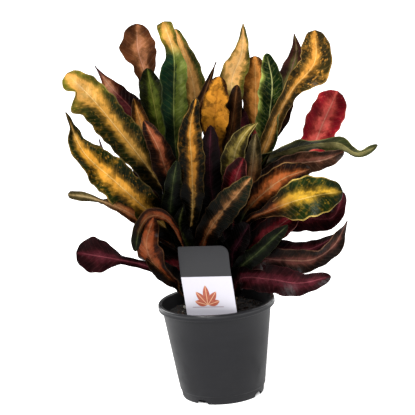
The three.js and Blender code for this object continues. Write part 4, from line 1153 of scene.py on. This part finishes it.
class CrotonLabel(Operator):
    """Cuts the plant label's card and stake from one sheet and bends its top back"""

    bl_idname = "croton.label"
    bl_label = "Plant label"

    BANDS = 14  # faces along the part that bends

    @staticmethod
    def outline():
        half, stake, corner = LABEL["width"] / 2, LABEL["stake_width"] / 2, LABEL["corner"]
        top, bottom, tip = LABEL["card_top"], LABEL["card_bottom"], LABEL["stake_tip"]
        points = [(0, tip), (stake, tip + 16), (stake, bottom - 13), (stake + 1.5, bottom - 12),
                  (half - 1, bottom - 0.6), (half, bottom)]
        a, b, c = (half, top - corner), (half, top - corner * 0.2), (half - corner * 0.8, top)
        for t in (i / 8 for i in range(9)):
            points.append(tuple(a[k] * (1 - t) ** 2 + 2 * b[k] * t * (1 - t) + c[k] * t * t for k in (0, 1)))
        points += [(-half + 1.2, top), (-half + 0.3, top - 0.3), (-half, top - 1.2)]
        return points + [(-x, z) for x, z in reversed(points[1:6])]

    def execute(self, context):
        outline = self.outline()
        deselect()
        bpy.ops.mesh.primitive_circle_add(vertices=len(outline), radius=1, fill_type="NGON")
        label = active()
        for vertex, (x, z) in zip(label.data.vertices, outline):
            vertex.co = (x * MM, 0, z * MM)
        rise = LABEL["card_top"] - LABEL["curl_from"]
        levels = [LABEL["curl_from"] + rise * i / self.BANDS for i in range(self.BANDS)]
        edit(label, *((bpy.ops.mesh.bisect, {"plane_co": (0, 0, level * MM), "plane_no": (0, 0, 1)})
                      for level in levels))
        flat = label.data.attributes.new("flat", "FLOAT_VECTOR", "POINT")
        turned = Matrix.Rotation(math.radians(-LABEL["turn"]), 3, "Z")
        turned = turned @ Matrix.Rotation(math.radians(-LABEL["lean"]), 3, "Y")
        turned = turned @ Matrix.Rotation(math.radians(LABEL["tilt"]), 3, "X")
        pivot = Vector((LABEL["middle"], LABEL["depth"], POT_HEIGHT))
        for i, vertex in enumerate(label.data.vertices):
            x, z = vertex.co.x / MM, vertex.co.z / MM
            flat.data[i].vector = (x / 10, (z - LABEL["card_bottom"]) / 10, 0)
            above = max(0.0, z - LABEL["curl_from"]) / rise
            y = LABEL["curl_back"] * above * above - LABEL["thickness"] / 2
            vertex.co = (pivot + turned @ Vector((x, y, z - POT_HEIGHT))) * MM
        apply_modifier(label, "SOLIDIFY", thickness=LABEL["thickness"] * MM, offset=0.0, material_offset=1,
                       material_offset_rim=1)
        edit(label, FACE_OUTWARD)
        name_piece(label, "care_card")
        smooth_by_angle(label, 30)
        settings = context.scene.croton_label
        wear(label, label_material(settings.head, settings.paper), label_back_material())
        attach(label, "root")
        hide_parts("plant_label")
        return {"FINISHED"}


class CrotonStems(Operator):
    """Raises the four stems out of the soil, with a scar at each leaf"""

    bl_idname = "croton.stems"
    bl_label = "Stems"

    SCAR = (0.5, 1.1)  # how far a leaf scar stands out, and its half height
    WOBBLE = 0.15

    def execute(self, context):
        bark = bark_material()
        relief, reach = self.SCAR
        for stem in STEMS:
            scars = [row[2] for row, _ in leaf_rows(stem)]
            top = STEMS[stem]["tip"][2]
            stick = add_ball(16, 150)
            for vertex in stick.data.vertices:
                z, down, angle = ball_place(vertex)
                height = STEM_ROOTED_TO + (top + 2 - STEM_ROOTED_TO) * (1 - down)
                share = smoothstep(STEM_UPRIGHT_TO, top, height)
                radius = STEM_FOOT_RADIUS + (STEM_TIP_RADIUS - STEM_FOOT_RADIUS) * share
                radius += sum(relief * math.exp(-((height - scar) / reach) ** 2) for scar in scars)
                radius += self.WOBBLE * math.sin(angle * 3 + height * 0.21)
                radius *= min(1, math.sqrt(max(0, 1 - z * z)) * 9)
                centre = stem_point(stem, height)
                vertex.co = (centre + Vector((math.cos(angle), math.sin(angle), 0)) * radius) * MM
            name_piece(stick, "stem_" + stem)
            smooth_by_angle(stick, 60)
            wear(stick, bark)
            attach(stick, "root")
            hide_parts("croton_stem_" + stem)
        return {"FINISHED"}


class CrotonLeaves(Operator):
    """Grows every leaf on its stem and joins the leaves of each stem"""

    bl_idname = "croton.leaves"
    bl_label = "Leaves"

    def execute(self, context):
        settings = context.scene.croton_leaves
        upper = leaf_material("croton_leaf", under=False)
        under = leaf_material("croton_leaf_underside", under=True)
        for stem in STEMS:
            grown = []
            for row, viewer in leaf_rows(stem):
                blade = Blade(row, viewer)
                grown.append(grow_blade(blade, settings.columns, settings.rows, settings.thickness))
                wear(grown[-1], upper, under)
                grown.append(grow_rib(blade))
                wear(grown[-1], upper)
            foliage = join(grown, "foliage_" + stem)
            smooth_by_angle(foliage, 70)
            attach(foliage, "root")
            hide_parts("croton_stem_" + stem)
        return {"FINISHED"}


class CrotonStage(Operator):
    """Sets the pale floor, the soft lights, the surroundings and the camera"""

    bl_idname = "croton.stage"
    bl_label = "Stage"

    FLOOR_WIDTH = 60  # metres
    AIM = Vector((-1.6, 0, 213)) * MM
    DISTANCE = 2.0  # metres
    PITCH = 12.8  # degrees that the camera looks down
    ROLL = 4.5  # degrees that it is turned clockwise
    LENS = 157.9

    @staticmethod
    def soft_light(name, towards, strength, degrees):
        """A broad, even light that comes from the direction towards."""
        bpy.ops.object.light_add(type="SUN")
        lamp = active()
        lamp.name = name
        lamp.data.energy = strength
        lamp.data.angle = math.radians(degrees)
        lamp.rotation_euler = Vector(towards).to_track_quat("Z", "Y").to_euler()

    def execute(self, context):
        settings = context.scene.croton_stage
        deselect()
        bpy.ops.mesh.primitive_plane_add(size=self.FLOOR_WIDTH, location=(0, 0, 0))
        floor = name_piece(active(), "floor")
        p = Paint("floor_paper")
        place = p.coordinates()
        x, y, _ = p.axes(place)
        tooth = p.noise(place, 40, 3.0)
        # Painted shadow under the pot: the paper's glow is left out inside the pot's foot, so the floor stays
        # dark there.
        under = (BASE_RADIUS - FOOT_INSET - WALL) * MM
        outside_pot_shadow = p.smooth(p.maths("SQRT", x * x + y * y), under - 0.006, under)
        paper = p.blend(tooth, linear("#f4f4f3"), linear("#ffffff"))
        glow = p.blend(outside_pot_shadow, linear("#000000"), paper)
        wear(floor, p.finish(paper, 0.8, Emission_Color=glow, Emission_Strength=settings.table,
                             Specular_IOR_Level=0.1))

        self.soft_light("key", (-0.5, -1.0, 1.15), settings.key, 22)
        self.soft_light("fill_right", (0.9, 0.8, 0.9), settings.fill, 40)
        self.soft_light("fill_left", (-0.9, 0.9, 0.7), settings.fill * 0.7, 40)

        world = bpy.data.worlds.new("surroundings")
        world.use_nodes = True
        background = world.node_tree.nodes["Background"]
        background.inputs["Color"].default_value = (1, 1, 1, 1)
        background.inputs["Strength"].default_value = settings.sky
        context.scene.world = world
        context.scene.view_settings.view_transform = "Standard"

        pitch = math.radians(self.PITCH)
        forward = Vector((0, math.cos(pitch), -math.sin(pitch)))
        bpy.ops.object.camera_add(location=self.AIM - forward * self.DISTANCE)
        camera = active()
        rolled = Matrix.Rotation(math.radians(-self.ROLL), 3, "Z")
        camera.rotation_euler = (Matrix.Rotation(math.pi / 2 - pitch, 3, "X") @ rolled).to_euler()
        camera.data.lens = self.LENS
        camera.data.sensor_width = 36
        camera.data.clip_end = 50
        context.scene.camera = camera
        return {"FINISHED"}


class CrotonPanel(Panel):
    """Lists the pieces and their settings"""

    bl_idname = "VIEW3D_PT_croton"
    bl_label = "Potted Croton"
    bl_space_type = "VIEW_3D"
    bl_region_type = "UI"
    bl_category = "Croton"

    def draw(self, context):
        for operator, name, group in PIECES:
            box = self.layout.box()
            box.operator(operator.bl_idname)
            for setting in group.__annotations__ if group else ():
                box.prop(getattr(context.scene, name), setting)


PIECES = [
    (CrotonPot, "croton_pot", CrotonPotSettings),
    (CrotonSoil, "croton_soil", CrotonSoilSettings),
    (CrotonLabel, "croton_label", CrotonLabelSettings),
    (CrotonStems, None, None),
    (CrotonLeaves, "croton_leaves", CrotonLeafSettings),
    (CrotonStage, "croton_stage", CrotonStageSettings),
]
SETTINGS = {name: group for _, name, group in PIECES if name}
CLASSES = [*SETTINGS.values(), *(operator for operator, _, _ in PIECES), CrotonPanel]


def register():
    for made in CLASSES:
        bpy.utils.register_class(made)
    for name, group in SETTINGS.items():
        setattr(bpy.types.Scene, name, PointerProperty(type=group))


def unregister():
    for name in SETTINGS:
        delattr(bpy.types.Scene, name)
    for made in reversed(CLASSES):
        bpy.utils.unregister_class(made)


def main():
    register()
    bpy.ops.croton.pot()
    bpy.ops.croton.soil()
    bpy.ops.croton.label()
    bpy.ops.croton.stems()
    bpy.ops.croton.leaves()
    bpy.ops.croton.stage()


if __name__ == "__main__":
    main()
